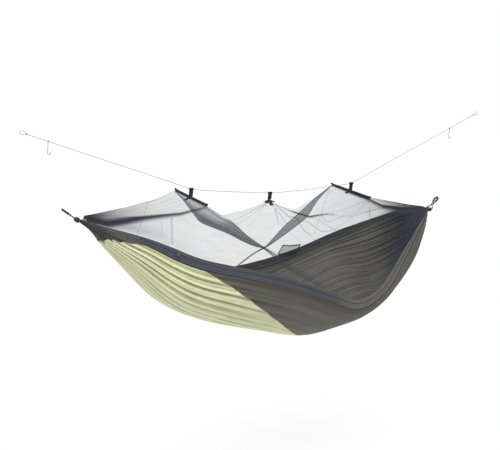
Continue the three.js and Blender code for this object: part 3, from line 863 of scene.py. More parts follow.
def knotted_eye(end):
    """The line's end, tied into a small eye: a wrapped stopper knot and its loop."""
    tip, before = (np.array([x, 0, z]) * MM for x, z in (
        (RIDGE_ROUTE[0], RIDGE_ROUTE[1]) if end == "foot" else (RIDGE_ROUTE[-1], RIDGE_ROUTE[-2])))
    away = (tip - before) / np.linalg.norm(tip - before)
    up = np.array([-away[2], 0, away[0]])
    side = np.array([0, 1, 0])

    def at(s, h, w=0.0):
        return tip + (s * away + h * up + w * side) * MM

    loop = [at(1, 0), at(8, 0.6), at(15, 3.2), at(25, 8.4), at(36, 7.6), at(42.5, 0),
            at(36, -7.6), at(25, -8.4), at(15, -3.6), at(10, -1.4)]
    line = smooth_line(loop, 70)
    wraps = np.array([
        at(2.5 + 9 * k / 44, 2.3 * math.cos(k * 0.62), 2.3 * math.sin(k * 0.62)) for k in range(45)
    ])
    pieces = [
        tube_object(f"line_eye_{end}", rings_along(line, 1.1 * MM, 10)),
        tube_object("wraps", rings_along(wraps, 1.0 * MM, 8, away)),
    ]
    activate(pieces[0])
    pieces[1].select_set(True)
    bpy.ops.object.join()
    return bpy.context.object


class HammockRidgeLine(bpy.types.Operator):
    """Ridge line with a knotted eye at each end"""

    bl_idname = "hammock.ridge_line"
    bl_label = "Ridge line"

    def execute(self, context):
        diameter = fitting_settings().line_diameter
        points = [(x * MM, 0, z * MM) for x, z in RIDGE_ROUTE]
        line = curve_object("ridge_cord", points, diameter / 2)
        dress(line, finish("pale_cord"), "hung_cloth", ["ridge_line"])
        for end in ("foot", "head"):
            eye = knotted_eye(end)
            dress(eye, finish("pale_cord"), "hung_cloth", [f"ridge_line_loop_{end}"])
        return {"FINISHED"}


# Half of a suspension loop's centre line: across, and out along the pull.
LOOP_HALF = [
    (0, 0), (8, 0), (15, 0), (21, 1.5), (24.5, 6), (22, 14), (14, 23), (7.5, 29.5),
    (6, 36), (6, 44), (6, 52), (7.5, 59), (11, 68), (12.5, 77), (10.5, 86), (6, 91.6), (0, 94),
]
SLEEVE_FROM = 61 * MM
WHIPPING_FROM, WHIPPING_TO = 35 * MM, 55 * MM


def pull_frame(end):
    """Origin, pull direction and the direction square to both in the plane of the hang."""
    sign, slope = (-1, FOOT_SLOPE) if end == "foot" else (1, HEAD_SLOPE)
    away = np.array([sign * math.cos(slope), 0, math.sin(slope)])
    up = np.array([-sign * math.sin(slope), 0, math.cos(slope)])
    return np.array([sign * CHANNEL_X, 0, 0]), away, up


def loop_line(end):
    """The whole loop from the middle of the channel round to the middle again."""
    origin, away, _ = pull_frame(end)
    flat = [*LOOP_HALF, *[(-y, s) for y, s in reversed(LOOP_HALF[:-1])]]
    return np.array([origin + MM * (s * away + np.array([0, y, 0])) for y, s in flat])


class HammockSuspension(bpy.types.Operator):
    """Suspension loops: cord, striped whipping and sewn sleeve at each end"""

    bl_idname = "hammock.suspension"
    bl_label = "Suspension loops"

    def execute(self, context):
        diameter = fitting_settings().loop_diameter
        for end in ("foot", "head"):
            body = f"{end}_loop"
            line = loop_line(end)
            cord = curve_object(f"suspension_cord_{end}", line, diameter / 2)
            dress(cord, finish("dark_cord"), body, [f"loop_cord_{end}"])
            whipping = self.whipping(end)
            dress(whipping, finish("whipping_cord"), body, [f"loop_whipping_{end}"])
            sleeve = self.sleeve(end)
            dress(sleeve, finish("sleeve_cloth"), body, [f"loop_sleeve_{end}"])
            curve_length(smooth_line(line, 200))
        return {"FINISHED"}

    def whipping(self, end):
        """Close turns of cord round both strands, proud in the middle."""
        origin, away, up = pull_frame(end)
        side = np.array([0.0, 1.0, 0.0])
        turns, steps, sides = 10, 100, 28
        rings = []
        for i in range(steps + 1):
            t = i / steps
            ridge = 0.55 * MM * abs(math.sin(math.pi * turns * t))
            swell = ridge + 0.5 * MM * math.sin(math.pi * t)
            s = WHIPPING_FROM + (WHIPPING_TO - WHIPPING_FROM) * t
            angle = np.linspace(0, 2 * math.pi, sides, endpoint=False)
            across = 5.2 * MM * np.sign(np.cos(angle)) + (4.4 * MM + swell) * np.cos(angle)
            deep = (4.3 * MM + swell) * np.sin(angle)
            rings.append(origin + s * away + across[:, None] * side + deep[:, None] * up)
        return tube_object(f"whipping_{end}", np.array(rings))

    def sleeve(self, end):
        """The padded sleeve round the bend, wrinkled along its length."""
        line = smooth_line(loop_line(end), 400)
        origin, away, up = pull_frame(end)
        reach = (line - origin) @ away
        bend = line[reach >= SLEEVE_FROM]
        count = len(bend)
        t = np.linspace(0, 1, count)
        collar = 1 + 0.12 * np.exp(-((np.minimum(t, 1 - t) / 0.03) ** 2))
        radii = 6.1 * MM * collar * (1 + 0.03 * np.sin(t * 90))
        return tube_object(f"loop_cover_{end}", rings_along(bend, radii, 18, up, 0.9))


# ---- body cloth ------------------------------------------------------------

CUT_WIDTH = 1.40
CUT_LENGTH = 2.75
BODY_GRID = (261, 181)
PANEL_GRID = (201, 181)
SEAM = [(0.0, -560), (0.5, 420), (1.0, 700)]
FOOT_WAVES = [(17, 0.40, 1.0), (29, 1.90, 0.6), (47, 3.10, 0.35)]
HEAD_WAVES = [(17, 0.15, 0.8), (29, 2.20, 0.7), (47, 1.10, 0.5)]


def wave_sum(waves, x, v):
    """Waves across the cloth, drifting along it, with sharp valleys; -1 to 1."""
    total = 0.0
    for count, phase, weight in waves:
        drift = 0.10 * np.sin(2.4 * x + 5.0 * phase) + 0.05 * np.sin(7.0 * x + phase)
        total = total + weight * np.sin(2 * math.pi * (count * v + phase + drift))
    valley = (1 - np.tanh(1.1 * total)) / 2
    return 1 - 2 * valley**1.9


def pleats(x, v):
    """Depth of the pleats that run out from both gathers, and how sharp they are, -1 to 1; the second
    value is painted as shade in the valleys and light on the crests.
    """
    depth = cloth_settings().pleat_depth
    share = np.abs(x) / FABRIC_X
    headwards = smoothstep(-0.15, 0.35, x)
    reach = np.where(x < 0, smoothstep(-0.10, 0.62, share), 0.34 * smoothstep(0.15, 0.9, share))
    near_tip = smoothstep(1.0, 0.84, share) * 0.75 + 0.25
    wave = wave_sum(FOOT_WAVES, x, v) * (1 - headwards) + wave_sum(HEAD_WAVES, x, v) * headwards
    low = smoothstep(0.26, 0.5, np.minimum(v, 1 - v))
    strength = (0.12 + 0.88 * reach) * (1 - 0.45 * low)
    edge = smoothstep(0.0, 0.05, v) * smoothstep(1.0, 0.95, v)
    return depth * strength * near_tip * wave * edge, strength * wave * (0.4 + 0.6 * edge)


def body_cloth(name, us, vs, start, end, outwards):
    """A layer of body cloth; start and end give x at each v."""
    share, v = np.meshgrid(us, vs, indexing="ij")
    x = start(v) + (end(v) - start(v)) * share
    flat = body_surface(x, v)
    # the pleats' depth shapes the cloth; their wave is kept as painted shade and light for the finish
    lift, crease_shade = pleats(x, v)
    # painted shadow under the rim band, along both top edges of the outer panels, over the middle of
    # the length
    beside = np.exp(-((np.minimum(v, 1 - v) / 0.045) ** 2))
    shade_and_tone = 0.85 * beside * smoothstep(-0.62, -0.2, x) * smoothstep(0.75, 0.3, x)
    if outwards == 0:
        # its seen side faces in: the painted crease shade turns over, and painted shade of fine creases
        # of the lining is added, which the shape does not have
        fine = sum(np.sin(2 * math.pi * (n * v + 0.3 * np.sin(3 * x + n)) + n) for n in (43, 67, 101))
        crease_shade = -crease_shade + 0.34 * fine
        # on the inner cloth the second colour instead darkens it towards both gathered ends
        shade_and_tone = np.maximum(smoothstep(-0.93, -1.06, x) * 0.8, smoothstep(0.82, 1.06, x) * 0.9)
    points = flat - normals_of(flat) * (outwards + lift)[..., None]
    uv = np.stack([(x + FABRIC_X) * CUT_LENGTH / (2 * FABRIC_X), v * CUT_WIDTH], -1)
    if outwards == 0:
        # the cloth's own edges run up into the hems
        rims = [beside_rim(side, x[:, 0], -HEM_DROP, -1 * MM)[:, None] for side in ("near", "far")]
        points = np.concatenate([rims[0], points, rims[1]], axis=1)
        uv = np.concatenate([uv[:, :1], uv, uv[:, -1:]], axis=1)
        uv[:, 0, 1] -= HEM_DROP
        uv[:, -1, 1] += HEM_DROP
        crease_shade, shade_and_tone = (np.pad(a, ((0, 0), (1, 1)), mode="edge") for a in (crease_shade, shade_and_tone))
    cloth = sheet_object(name, points, uv)
    point_value(cloth, "crease_shade", crease_shade)
    point_value(cloth, "shade_and_tone", shade_and_tone)
    return thicken(cloth, cloth_settings().thickness)


def seam_x(v):
    """Where the diagonal seam between the outer panels lies."""
    return np.interp(v, [s[0] for s in SEAM], [s[1] * MM for s in SEAM])


def panel_foot_x(v):
    """The outer foot panel starts further from the end beside the rims."""
    beside = np.clip(1 - np.minimum(v, 1 - v) / 0.3, 0, 1)
    jags = 7 * np.sin(83 * v) + 4 * np.sin(190 * v + 1)
    return MM * (-1000 + 150 * beside**3 + jags)


class HammockBody(bpy.types.Operator):
    """Inner body cloth with its pleats"""

    bl_idname = "hammock.body"
    bl_label = "Body cloth"

    def execute(self, context):
        cloth = body_cloth(
            "body_cloth", *(np.linspace(0, 1, count) for count in BODY_GRID),
            lambda v: np.full_like(v, -FABRIC_X), lambda v: np.full_like(v, FABRIC_X), 0.0)
        dress(cloth, finish("olive_cloth"), "hung_cloth", ["inner_body"])
        return {"FINISHED"}


class HammockPanels(bpy.types.Operator):
    """Outer foot and head panels, joined by a diagonal seam"""

    bl_idname = "hammock.panels"
    bl_label = "Outer panels"

    def execute(self, context):
        gap = cloth_settings().panel_gap
        overlap = 3 * MM
        for name, start, end, layer, look, slot, length, area in (
            ("foot_panel", panel_foot_x, lambda v: seam_x(v) + overlap, gap + 1.4 * MM,
             "green_cloth", "pale_green_ripstop", 1.85, 1.5),
            ("head_panel", seam_x, lambda v: np.full_like(v, 1085 * MM), gap,
             "head_cloth", "olive_ripstop", 1.65, 0.85),
        ):
            cloth = body_cloth(
                name, *(np.linspace(0, 1, count) for count in PANEL_GRID), start, end, layer)
            dress(cloth, finish(look), "hung_cloth", [f"outer_{name}"])
        return {"FINISHED"}


def band_tone(side, x):
    """The band is olive along the far side and beside the lying head."""
    return 0.9 * smoothstep(150 * MM, 430 * MM, x) if side == "near" else 0.7 + 0 * x


class HammockRimTrim(bpy.types.Operator):
    """Corded hems and the opaque skirt of the net along both rims"""

    bl_idname = "hammock.rim_trim"
    bl_label = "Rim trim"

    def execute(self, context):
        for side in ("near", "far"):
            x = np.linspace(-1050, 1050, 240) * MM
            hem = tube_object(
                f"hem_{side}",
                rings_along(beside_rim(side, x, -HEM_DROP, -1 * MM),
                            5.2 * MM * gather(x) * (1 + 0.06 * np.sin(900 * x)), 12))
            hem_x = vertex_places(hem)[:, 0]
            point_value(hem, "shade_and_tone", band_tone(side, hem_x))
            dress(hem, finish("slate_cloth"), "hung_cloth", [f"rim_hem_{side}"])

            along = np.linspace(-1104, 1104, 300) * MM
            v = np.linspace(0, 1, 16)
            x, v = np.meshgrid(along, v, indexing="ij")
            points = beside_rim(side, x, -BAND_BELOW + (BAND_ABOVE + BAND_BELOW) * v, 0, SKIRT_LEAN * v)
            ripple = 1.6 * MM * np.sin(47 * x + 3 * v) * np.sin(math.pi * v) * gather(x)
            seam = -0.7 * MM * np.exp(-(((v - 0.12) / 0.05) ** 2))
            points = points + normals_of(points) * (ripple + seam)[..., None]
            skirt = sheet_object(f"skirt_{side}", points)
            point_value(skirt, "shade_and_tone", band_tone(side, x))
            skirt = thicken(skirt, 2 * cloth_settings().thickness)
            dress(skirt, finish("slate_cloth"), "hung_cloth", [f"net_skirt_{side}"])
        return {"FINISHED"}


# ---- net -------------------------------------------------------------------

NET_CORNER = 0.7
NET_GAP = 2.6 * MM
NET_ACROSS = 221


def net_surface(x, t):
    """The roof from the near skirt (t = 0) over the middle (0.5) to the far one (1)."""
    sides = []
    for side, sign in (("near", -1), ("far", 1)):
        foot = beside_rim(side, x, band_above(side, x), NET_GAP, SKIRT_LEAN)
        edge = np.stack([x, sign * net_half(x), net_z(x)], -1)
        sides.append((foot, edge))
    (near_foot, near_edge), (far_foot, far_edge) = sides
    half = NET_CORNER / 2
    s = t[..., None]
    near = near_foot + (near_edge - near_foot) * (s / half)
    top = near_edge + (far_edge - near_edge) * ((s - half) / (1 - 2 * half))
    far = far_edge + (far_foot - far_edge) * ((s - 1 + half) / half)
    return np.where(s < half, near, np.where(s > 1 - half, far, top))


# Folds of the net, as seen from above: x, y, half width, and how far the net gathers there.
NET_FOLDS = [
    # near and far edges of the roof, towards the foot
    [(-1104, -14, 30, 1.0), (-1028, -68, 32, 1.0), (-962, -88, 28, 1.0), (-828, -116, 21, 0.95),
     (-718, -144, 15, 0.9), (-630, -168, 11, 0.8), (-554, -190, 9, 0.65), (-522, -198, 6, 0.4)],
    [(-1104, 14, 16, 0.8), (-1010, 50, 9, 0.45), (-840, 112, 6, 0.28), (-522, 196, 5, 0.3)],
    # and towards the head
    [(522, -198, 17, 1.0), (656, -160, 21, 1.0), (850, -108, 25, 1.0), (1010, -48, 30, 1.0),
     (1104, -14, 30, 1.0)],
    [(522, 198, 7, 0.5), (736, 138, 6, 0.4), (868, 100, 8, 0.5), (1010, 48, 13, 0.8),
     (1104, 14, 18, 1.0)],
    [(522, 190, 5, 0.5), (522, 60, 9, 0.8), (522, -60, 18, 1.0), (522, -190, 20, 1.0)],
    [(-522, 196, 4, 0.3), (-522, -196, 5, 0.45)],
    # from the middle patch
    [(-6, -18, 4, 0.35), (60, -40, 4, 0.5), (128, -62, 9, 0.85), (184, -80, 9, 0.85),
     (262, -110, 5, 0.65), (326, -140, 2, 0.3)],
    [(-12, -40, 3, 0.3), (-38, -134, 3, 0.12)],
    [(-6, -44, 3, 0.3), (28, -134, 3, 0.15)],
    [(-40, -12, 3, 0.4), (-122, -6, 4, 0.3), (-250, -28, 4, 0.25), (-276, -2, 4, 0.1)],
    [(-36, 10, 3, 0.4), (-150, 46, 4, 0.25), (-275, 90, 5, 0.3), (-400, 148, 4, 0.3),
     (-522, 196, 4, 0.35)],
    [(-50, -16, 3, 0.3), (-150, -46, 3, 0.2), (-316, -114, 3, 0.3), (-418, -162, 3, 0.3),
     (-522, -198, 4, 0.4)],
    [(40, 34, 3, 0.4), (244, 154, 3, 0.6), (412, 276, 3, 0.55), (530, 314, 3, 0.45)],
    [(20, 30, 3, 0.3), (150, 150, 3, 0.12), (326, 272, 3, 0.22), (464, 332, 3, 0.2)],
    [(80, -44, 4, 0.3), (200, -86, 4, 0.22), (360, -146, 3, 0.25), (522, -198, 4, 0.4)],
    # slack below the head bar
    [(398, 232, 4, 0.25), (556, 262, 5, 0.2), (640, 234, 5, 0.18), (702, 190, 4, 0.08)],
    [(394, 244, 4, 0.28), (528, 288, 5, 0.24), (662, 258, 5, 0.18), (732, 190, 4, 0.08)],
    [(196, -84, 3, 0.2), (340, -192, 5, 0.16), (562, -214, 4, 0.1)],
    [(240, -100, 3, 0.16), (400, -176, 5, 0.14), (520, -196, 4, 0.14)],
    # sewn joins
    [(-698, -150, 3, 0.35), (-730, -234, 3, 0.35)],
    [(-750, -138, 3, 0.2), (-772, -202, 3, 0.2)],
    [(518, -206, 3, 0.4), (514, -250, 3, 0.35), (510, -302, 3, 0.35)],
    [(-698, 150, 3, 0.3), (-740, 250, 3, 0.3)],
    [(518, 206, 3, 0.3), (514, 300, 3, 0.3)],
    # creases that run out from both ends
    [(-1080, -6, 6, 0.5), (-840, -30, 5, 0.14), (-540, -110, 4, 0.06)],
    [(-1080, 4, 6, 0.5), (-840, 30, 5, 0.12), (-540, 60, 4, 0.06)],
    [(1080, -4, 8, 0.8), (850, -30, 5, 0.2), (560, -60, 4, 0.08)],
    [(1080, 6, 8, 0.8), (850, 40, 5, 0.25), (560, 100, 4, 0.1)],
    [(1060, -30, 9, 0.9), (900, -120, 7, 0.5), (760, -190, 5, 0.25)],
    [(1060, 30, 9, 0.9), (900, 120, 7, 0.5), (700, 220, 5, 0.2)],
    [(-1060, -30, 9, 0.7), (-900, -140, 6, 0.25), (-700, -230, 4, 0.1)],
]
FOLD_HEIGHT = 3 * MM


def on_roof(x, y):
    """The net's point above or below a place seen from above."""
    sides = [beside_rim(side, x, band_above(side, x), NET_GAP, SKIRT_LEAN)[..., 1]
             for side in ("near", "far")]
    half, corner = net_half(x), NET_CORNER / 2
    t = np.array([
        np.interp(place, (near, -edge, edge, far), (0, corner, 1 - corner, 1))
        for place, near, edge, far in zip(y, sides[0], half, sides[1])
    ])
    return net_surface(x, t)


def folds_near(points):
    """How much the net is gathered at each point, and how far it stands out there."""
    x, y = points[..., 0], points[..., 1]
    turn = np.arctan2(y, FABRIC_X + 20 * MM - np.abs(x))
    strands = 0.5 + 0.5 * np.sin(38 * turn + 2 * np.sin(9 * turn))
    reach = np.where(x < 0, 95 * MM, 120 * MM)
    ends = np.exp(-(FABRIC_X - np.abs(x)) / reach)
    gathered = np.clip(1.15 * ends, 0, 1) + 0.2 * strands * np.exp(-(FABRIC_X - np.abs(x)) / 0.3)
    lift = np.zeros(points.shape[:-1])
    for fold in NET_FOLDS:
        line = smooth_line(np.array(fold, float), 70)
        x, y, width = (line[:, i] * MM for i in range(3))
        places = on_roof(x, y)
        low, high = places.min(0) - 0.06, places.max(0) + 0.06
        close = np.all((points >= low) & (points <= high), axis=-1)
        if not close.any():
            continue
        gaps = np.linalg.norm(points[close][:, None] - places[None], axis=-1)
        nearest = gaps.argmin(1)
        near = np.exp(-((gaps.min(1) / width[nearest]) ** 2))
        gathered[close] = np.maximum(gathered[close], near * line[nearest, 3])
        lift[close] = np.maximum(lift[close], near)
    return gathered, lift * FOLD_HEIGHT


# Loose net hanging below the roof in a folded swag: pairs of its upper and lower edge.
NET_SWAGS = {
    "foot_middle": [
        ((-522, 196, 97), (-522, 190, 88), 0.18, 0.45),
        ((-522, 60, 97), (-524, 88, 70), 0.2, 0.5),
        ((-522, -80, 97), (-523, -50, 24), 0.22, 0.5),
        ((-520, -194, 94), (-516, -120, -1), 0.25, 0.58),
        ((-418, -160, 34), (-470, -165, -20), 0.3, 0.6),
        ((-316, -118, -12), (-395, -206, -46), 0.5, 0.62),
        ((-248, -158, -72), (-300, -230, -92), 0.6, 0.64),
        ((-202, -206, -106), (-240, -244, -114), 0.62, 0.66),
        ((-176, -230, -122), (-196, -250, -126), 0.6, 0.7),
        ((-138, -262, -142), (-150, -270, -160), 0.35, 0.42),
        ((-106, -292, -168), (-120, -302, -188), 0.28, 0.35),
        ((-60, -326, -202), (-76, -334, -224), 0.18, 0.22),
        ((60, -366, -264), (40, -368, -286), 0.1, 0.12),
        ((150, -374, -320), (146, -374, -328), 0.05, 0.05),
    ],
    "head_middle": [
        ((518, 194, 116), (516, 192, 110), 0.45, 0.45),
        ((384, 152, 54), (436, 190, 30), 0.45, 0.45),
        ((290, 148, -24), (400, 216, -60), 0.42, 0.42),
        ((240, 160, -74), (386, 230, -96), 0.42, 0.42),
        ((196, 178, -126), (290, 248, -176), 0.45, 0.45),
        ((162, 256, -236), (206, 276, -250), 0.5, 0.5),
        ((148, 288, -276), (162, 300, -288), 0.65, 0.65),
        ((102, 318, -316), (112, 322, -324), 0.45, 0.45),
        ((60, 354, -366), (74, 356, -372), 0.4, 0.4),
        ((28, 390, -418), (40, 390, -420), 0.4, 0.4),
    ],
}


# Each bay's ends, the bar that carries it, a hinge point by that bar, and its flat size.
BAYS = {
    "foot_end": (-1104, -522, "foot", (-596, -139), (0.60, 1.15, 0.40)),
    "foot_middle": (-522, -30, "foot", (-419, -112), (0.52, 1.25, 0.60)),
    "head_middle": (-30, 522, "head", (350, -158), (0.58, 1.40, 0.74)),
    "head_end": (522, 1104, "head", (673, -190), (0.62, 1.25, 0.46)),
}


def swag_object(name, pairs):
    """A narrow folded strip between two edges; each pair has its cover above and below."""
    table = np.array([(k, *upper, *lower, above, below)
                      for k, (upper, lower, above, below) in enumerate(pairs)], float)
    along = np.linspace(0, len(pairs) - 1, 16 * len(pairs))
    upper = np.stack([smooth_column(table, i)(along) for i in (1, 2, 3)], -1) * MM
    lower = np.stack([smooth_column(table, i)(along) for i in (4, 5, 6)], -1) * MM
    across = np.linspace(0, 1, 29)
    share = across[None, :, None]
    points = upper[:, None] * (1 - share) + lower[:, None] * share
    wave = np.sin(2 * math.pi * 3 * across)[None] * np.sin(math.pi * across)[None]
    points = points + normals_of(points) * (2.0 * MM * wave)[..., None]
    above, below = (smooth_column(table, i)(along)[:, None] for i in (7, 8))
    blend = smoothstep(0.42, 0.6, across)[None]
    edges = np.exp(-((across / 0.06) ** 2)) + np.exp(-(((1 - across) / 0.06) ** 2))
    swag = sheet_object(name, points)
    point_value(swag, "gathered", above + (below - above) * blend + 0.16 * edges + 0.07 * wave)
    return swag


class HammockNet(bpy.types.Operator):
    """Insect-net roof in four bays between the ends, the spreader bars and the middle"""

    bl_idname = "hammock.net"
    bl_label = "Insect net"

    def execute(self, context):
        cell = net_settings().cell
        for bay, (low, high, end, hinge, flat) in BAYS.items():
            low, high = low * MM, high * MM
            columns = round((high - low) / cell)
            xs = np.linspace(low, high, columns + 1)
            ts = np.linspace(0, 1, NET_ACROSS)
            x, t = np.meshgrid(xs, ts, indexing="ij")
            points = net_surface(x, t)
            gathered, lift = folds_near(points)
            points = points - normals_of(points) * lift[..., None]
            net = sheet_object(f"net_{bay}", points)
            point_value(net, "gathered", gathered)
            nodes = [f"net_{end}_{side}" for side in ("near", "far")]
            dress(net, finish("insect_net"), None, nodes)
            self.follow(net, end, hinge)
            if bay in NET_SWAGS:
                swag = swag_object(f"swag_{end}", NET_SWAGS[bay])
                dress(swag, finish("insect_net"), None, ())
                self.follow(swag, end, hinge)
        return {"FINISHED"}

    def follow(self, piece, end, hinge):
        """Bakes the placement of a piece of net into its points."""
        bar = np.array([SPREADER_X * (-1 if end == "foot" else 1), 0, 0])
        bar[2] = net_z(bar[0])
        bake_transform(piece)


# ---- spreaders, patches and straps -----------------------------------------

BAR_REST = {"foot": (-SPREADER_X, 101 * MM), "head": (SPREADER_X, 122 * MM)}
SLEEVE_RADIUS = 5.8 * MM
ARM_LENGTH = 32 * MM
ARM_HALF = 11.5 * MM
STRAP_HALF = 11.5 * MM
STRAP_BORE = 5.5 * MM


def bar_sleeve(end):
    """The cloth tunnel round a bar, a little loose and wrinkled."""
    x, z = BAR_REST[end]
    y = np.linspace(-186, 186, 150) * MM
    wrinkle = 0.35 * np.sin(900 * y) + 0.3 * np.sin(370 * y + 1) + 0.2 * np.sin(1900 * y)
    collar = 0.5 * np.exp(-(((np.abs(y) - 0.184) / 0.002) ** 2))
    centres = np.stack([np.full_like(y, x), y, np.full_like(y, z)], -1)
    return tube_object(f"bar_sleeve_{end}", rings_along(
        centres, SLEEVE_RADIUS + MM * (wrinkle * 0.5 + collar), 20, (1, 0, 0)))


def star_patch(name, place, drape):
    """A four-armed patch; drape gives the height over its own middle."""
    angle = np.linspace(0, 2 * math.pi, 97)
    turn = (angle + math.pi / 4) % (math.pi / 2) - math.pi / 4
    reach = np.minimum(ARM_LENGTH / np.cos(turn), ARM_HALF / np.maximum(np.abs(np.sin(turn)), 0.1))
    share = np.linspace(0.02, 1, 20)
    u = share[:, None] * reach * np.cos(angle)
    v = share[:, None] * reach * np.sin(angle)
    points = np.array(place) + np.stack([u, v, drape(u, v)], -1)
    patch = sheet_object(name, points, np.stack([u, v], -1))
    point_value(patch, "stitched", np.exp(-(((share[:, None] - 0.86) / 0.035) ** 2)) + 0 * u)
    close_up(patch)
    return thicken(patch, 1.2 * MM)


def hanging_strap(name, x, bottom, line_height):
    """Webbing folded round the ridge line, its two tails sewn together and to the patch."""
    turn = np.linspace(-math.pi / 2 + 0.16, 1.5 * math.pi - 0.16, 40)
    loop = np.stack([STRAP_BORE * np.cos(turn), STRAP_BORE * np.sin(turn)], -1)
    tail = np.linspace(bottom - line_height, -STRAP_BORE - 1.2 * MM, 14)
    right = np.stack([0.85 * MM + 0 * tail, tail], -1)
    left = np.stack([-0.85 * MM + 0 * tail, tail[::-1]], -1)
    profile = smooth_line(np.concatenate([right, loop, left]), 110)
    across = np.linspace(-STRAP_HALF, STRAP_HALF, 15)
    points = np.stack([
        x + 0 * profile[:, :1] + across,
        profile[:, :1] + 0 * across,
        line_height + profile[:, 1:] + 0 * across,
    ], -1)
    strap = sheet_object(name, points)
    drop = np.broadcast_to(profile[:, 1:], points.shape[:2])
    rows = np.exp(-(((np.abs(across) - STRAP_HALF + 2 * MM) / (0.5 * MM)) ** 2))
    bars = sum(np.exp(-(((drop + d * MM) / (0.6 * MM)) ** 2)) for d in (9, 12, 26))
    point_value(strap, "stitched", np.maximum(rows * (drop < -8 * MM), bars))
    return thicken(strap, 1.3 * MM)


class HammockSpreaders(bpy.types.Operator):
    """Spreader bars in their sleeves, and the patches and straps that carry the net"""

    bl_idname = "hammock.spreaders"
    bl_label = "Spreaders and straps"

    def execute(self, context):
        for end, (x, z) in BAR_REST.items():
            body = f"{end}_spreader"
            sleeve = bar_sleeve(end)
            dress(sleeve, finish("sleeve_cloth"), body, [f"spreader_sleeve_{end}"])
            patch = star_patch(f"patch_{end}", (x, 0, z), self.over_sleeve)
            dress(patch, finish("black_webbing"), body, [f"net_patch_{end}"])
            strap = hanging_strap(f"hanger_{end}", x, z + SLEEVE_RADIUS + 2.6 * MM, line_z(x))
            dress(strap, finish("black_webbing"), body, [f"strap_{end}"])
            refinish(f"spreader_bar_{end}", "fibreglass")
            for side in ("near", "far"):
                refinish(f"spreader_tip_{end}_{side}", "black_rubber")

        top = float(net_z(CENTRE_X)) + 6.2 * MM
        patch = star_patch("patch_centre", (CENTRE_X, 0, top), self.over_ridge)
        dress(patch, finish("black_webbing"), "hung_cloth", ["net_patch_centre"])
        strap = hanging_strap("hanger_centre", CENTRE_X, top + 1.4 * MM, float(line_z(CENTRE_X)))
        dress(strap, finish("black_webbing"), "hung_cloth", ["strap_centre"])
        return {"FINISHED"}

    @staticmethod
    def over_sleeve(u, v):
        """Height of a patch that lies over a bar's sleeve."""
        radius = SLEEVE_RADIUS + 1.4 * MM
        round_top = np.sqrt(np.maximum(radius**2 - u**2, 0))
        slope = 2.2 * MM - np.maximum(np.abs(u) - 7 * MM, 0) * 0.55
        return np.where(np.abs(u) < 6.9 * MM, np.maximum(round_top, slope), slope)

    @staticmethod
    def over_ridge(u, v):
        """Height of a patch that lies over the net's ridge."""
        return -0.95 * np.maximum(np.abs(v) - 6 * MM, 0) - 0.3 * np.abs(u)


# ---- pocket, zip, end gathers and hooks ------------------------------------

POCKET_PLACE = (346 * MM, 316 * MM, -310 * MM)
POCKET_SIZE = (128 * MM, 84 * MM)
POCKET_TURN = math.radians(34)


def pocket_points(u, v, out):
    """u along the pocket, v up it, out towards the lying place."""
    c, s = math.cos(POCKET_TURN), math.sin(POCKET_TURN)
    y, z = -out * c - v * s, v * c - out * s
    return np.array(POCKET_PLACE) + np.stack([u, y, z], -1)


class HammockPocket(bpy.types.Operator):
    """Net pocket with bound edges on the far side"""

    bl_idname = "hammock.pocket"
    bl_label = "Net pocket"

    def execute(self, context):
        width, height = POCKET_SIZE
        u, v = np.meshgrid(np.linspace(-0.5, 0.5, 41), np.linspace(-0.5, 0.5, 31), indexing="ij")
        belly = 6 * MM * np.cos(math.pi * u) * np.cos(math.pi * (v - 0.12) * 0.9)
        top_sag = -5 * MM * np.cos(math.pi * u) * smoothstep(0.2, 0.5, v)
        face = pocket_points(u * width, v * height + top_sag, belly)
        back = pocket_points(u * width, v * height, -5 * MM + 0 * u)
        for name, points, cover in (("pocket_face", face, 0.16), ("pocket_back", back, 0.05)):
            sheet = sheet_object(name, points)
            point_value(sheet, "gathered", cover + 0 * u)
            nodes = ["gear_pocket"] if name == "pocket_face" else []
            dress(sheet, finish("insect_net"), "hung_cloth", nodes)
        rim = face[:, -1]
        edge = np.concatenate([face[0, ::-1], face[1:, 0], face[-1, 1:]])
        for name, line, radius in (("pocket_top", rim, 3.2 * MM), ("pocket_edge", edge, 2.8 * MM)):
            trim = tube_object(name, rings_along(line, radius, 10, (0.05, 0.8, -0.6), 0.6))
            dress(trim, finish("net_binding"), "hung_cloth", ())
        return {"FINISHED"}


class HammockZip(bpy.types.Operator):
    """Zip along the near side, with its slider and pull"""

    bl_idname = "hammock.zip"
    bl_label = "Zip"

    def execute(self, context):
        x = np.linspace(-880, 960, 1200) * MM
        line = beside_rim("near", x, 3 * MM, 0, -4.2 * MM)
        tooth = 0.35 * MM * np.sign(np.sin(2 * math.pi * x / (3.2 * MM)))
        chain = tube_object("zip_teeth", rings_along(line, 1.25 * MM + tooth, 8))
        dress(chain, finish("zip_nylon"), "hung_cloth", ["zip_chain"])
        refinish("zip_slider", "steel")
        refinish("zip_pull", "zip_nylon")
        return {"FINISHED"}


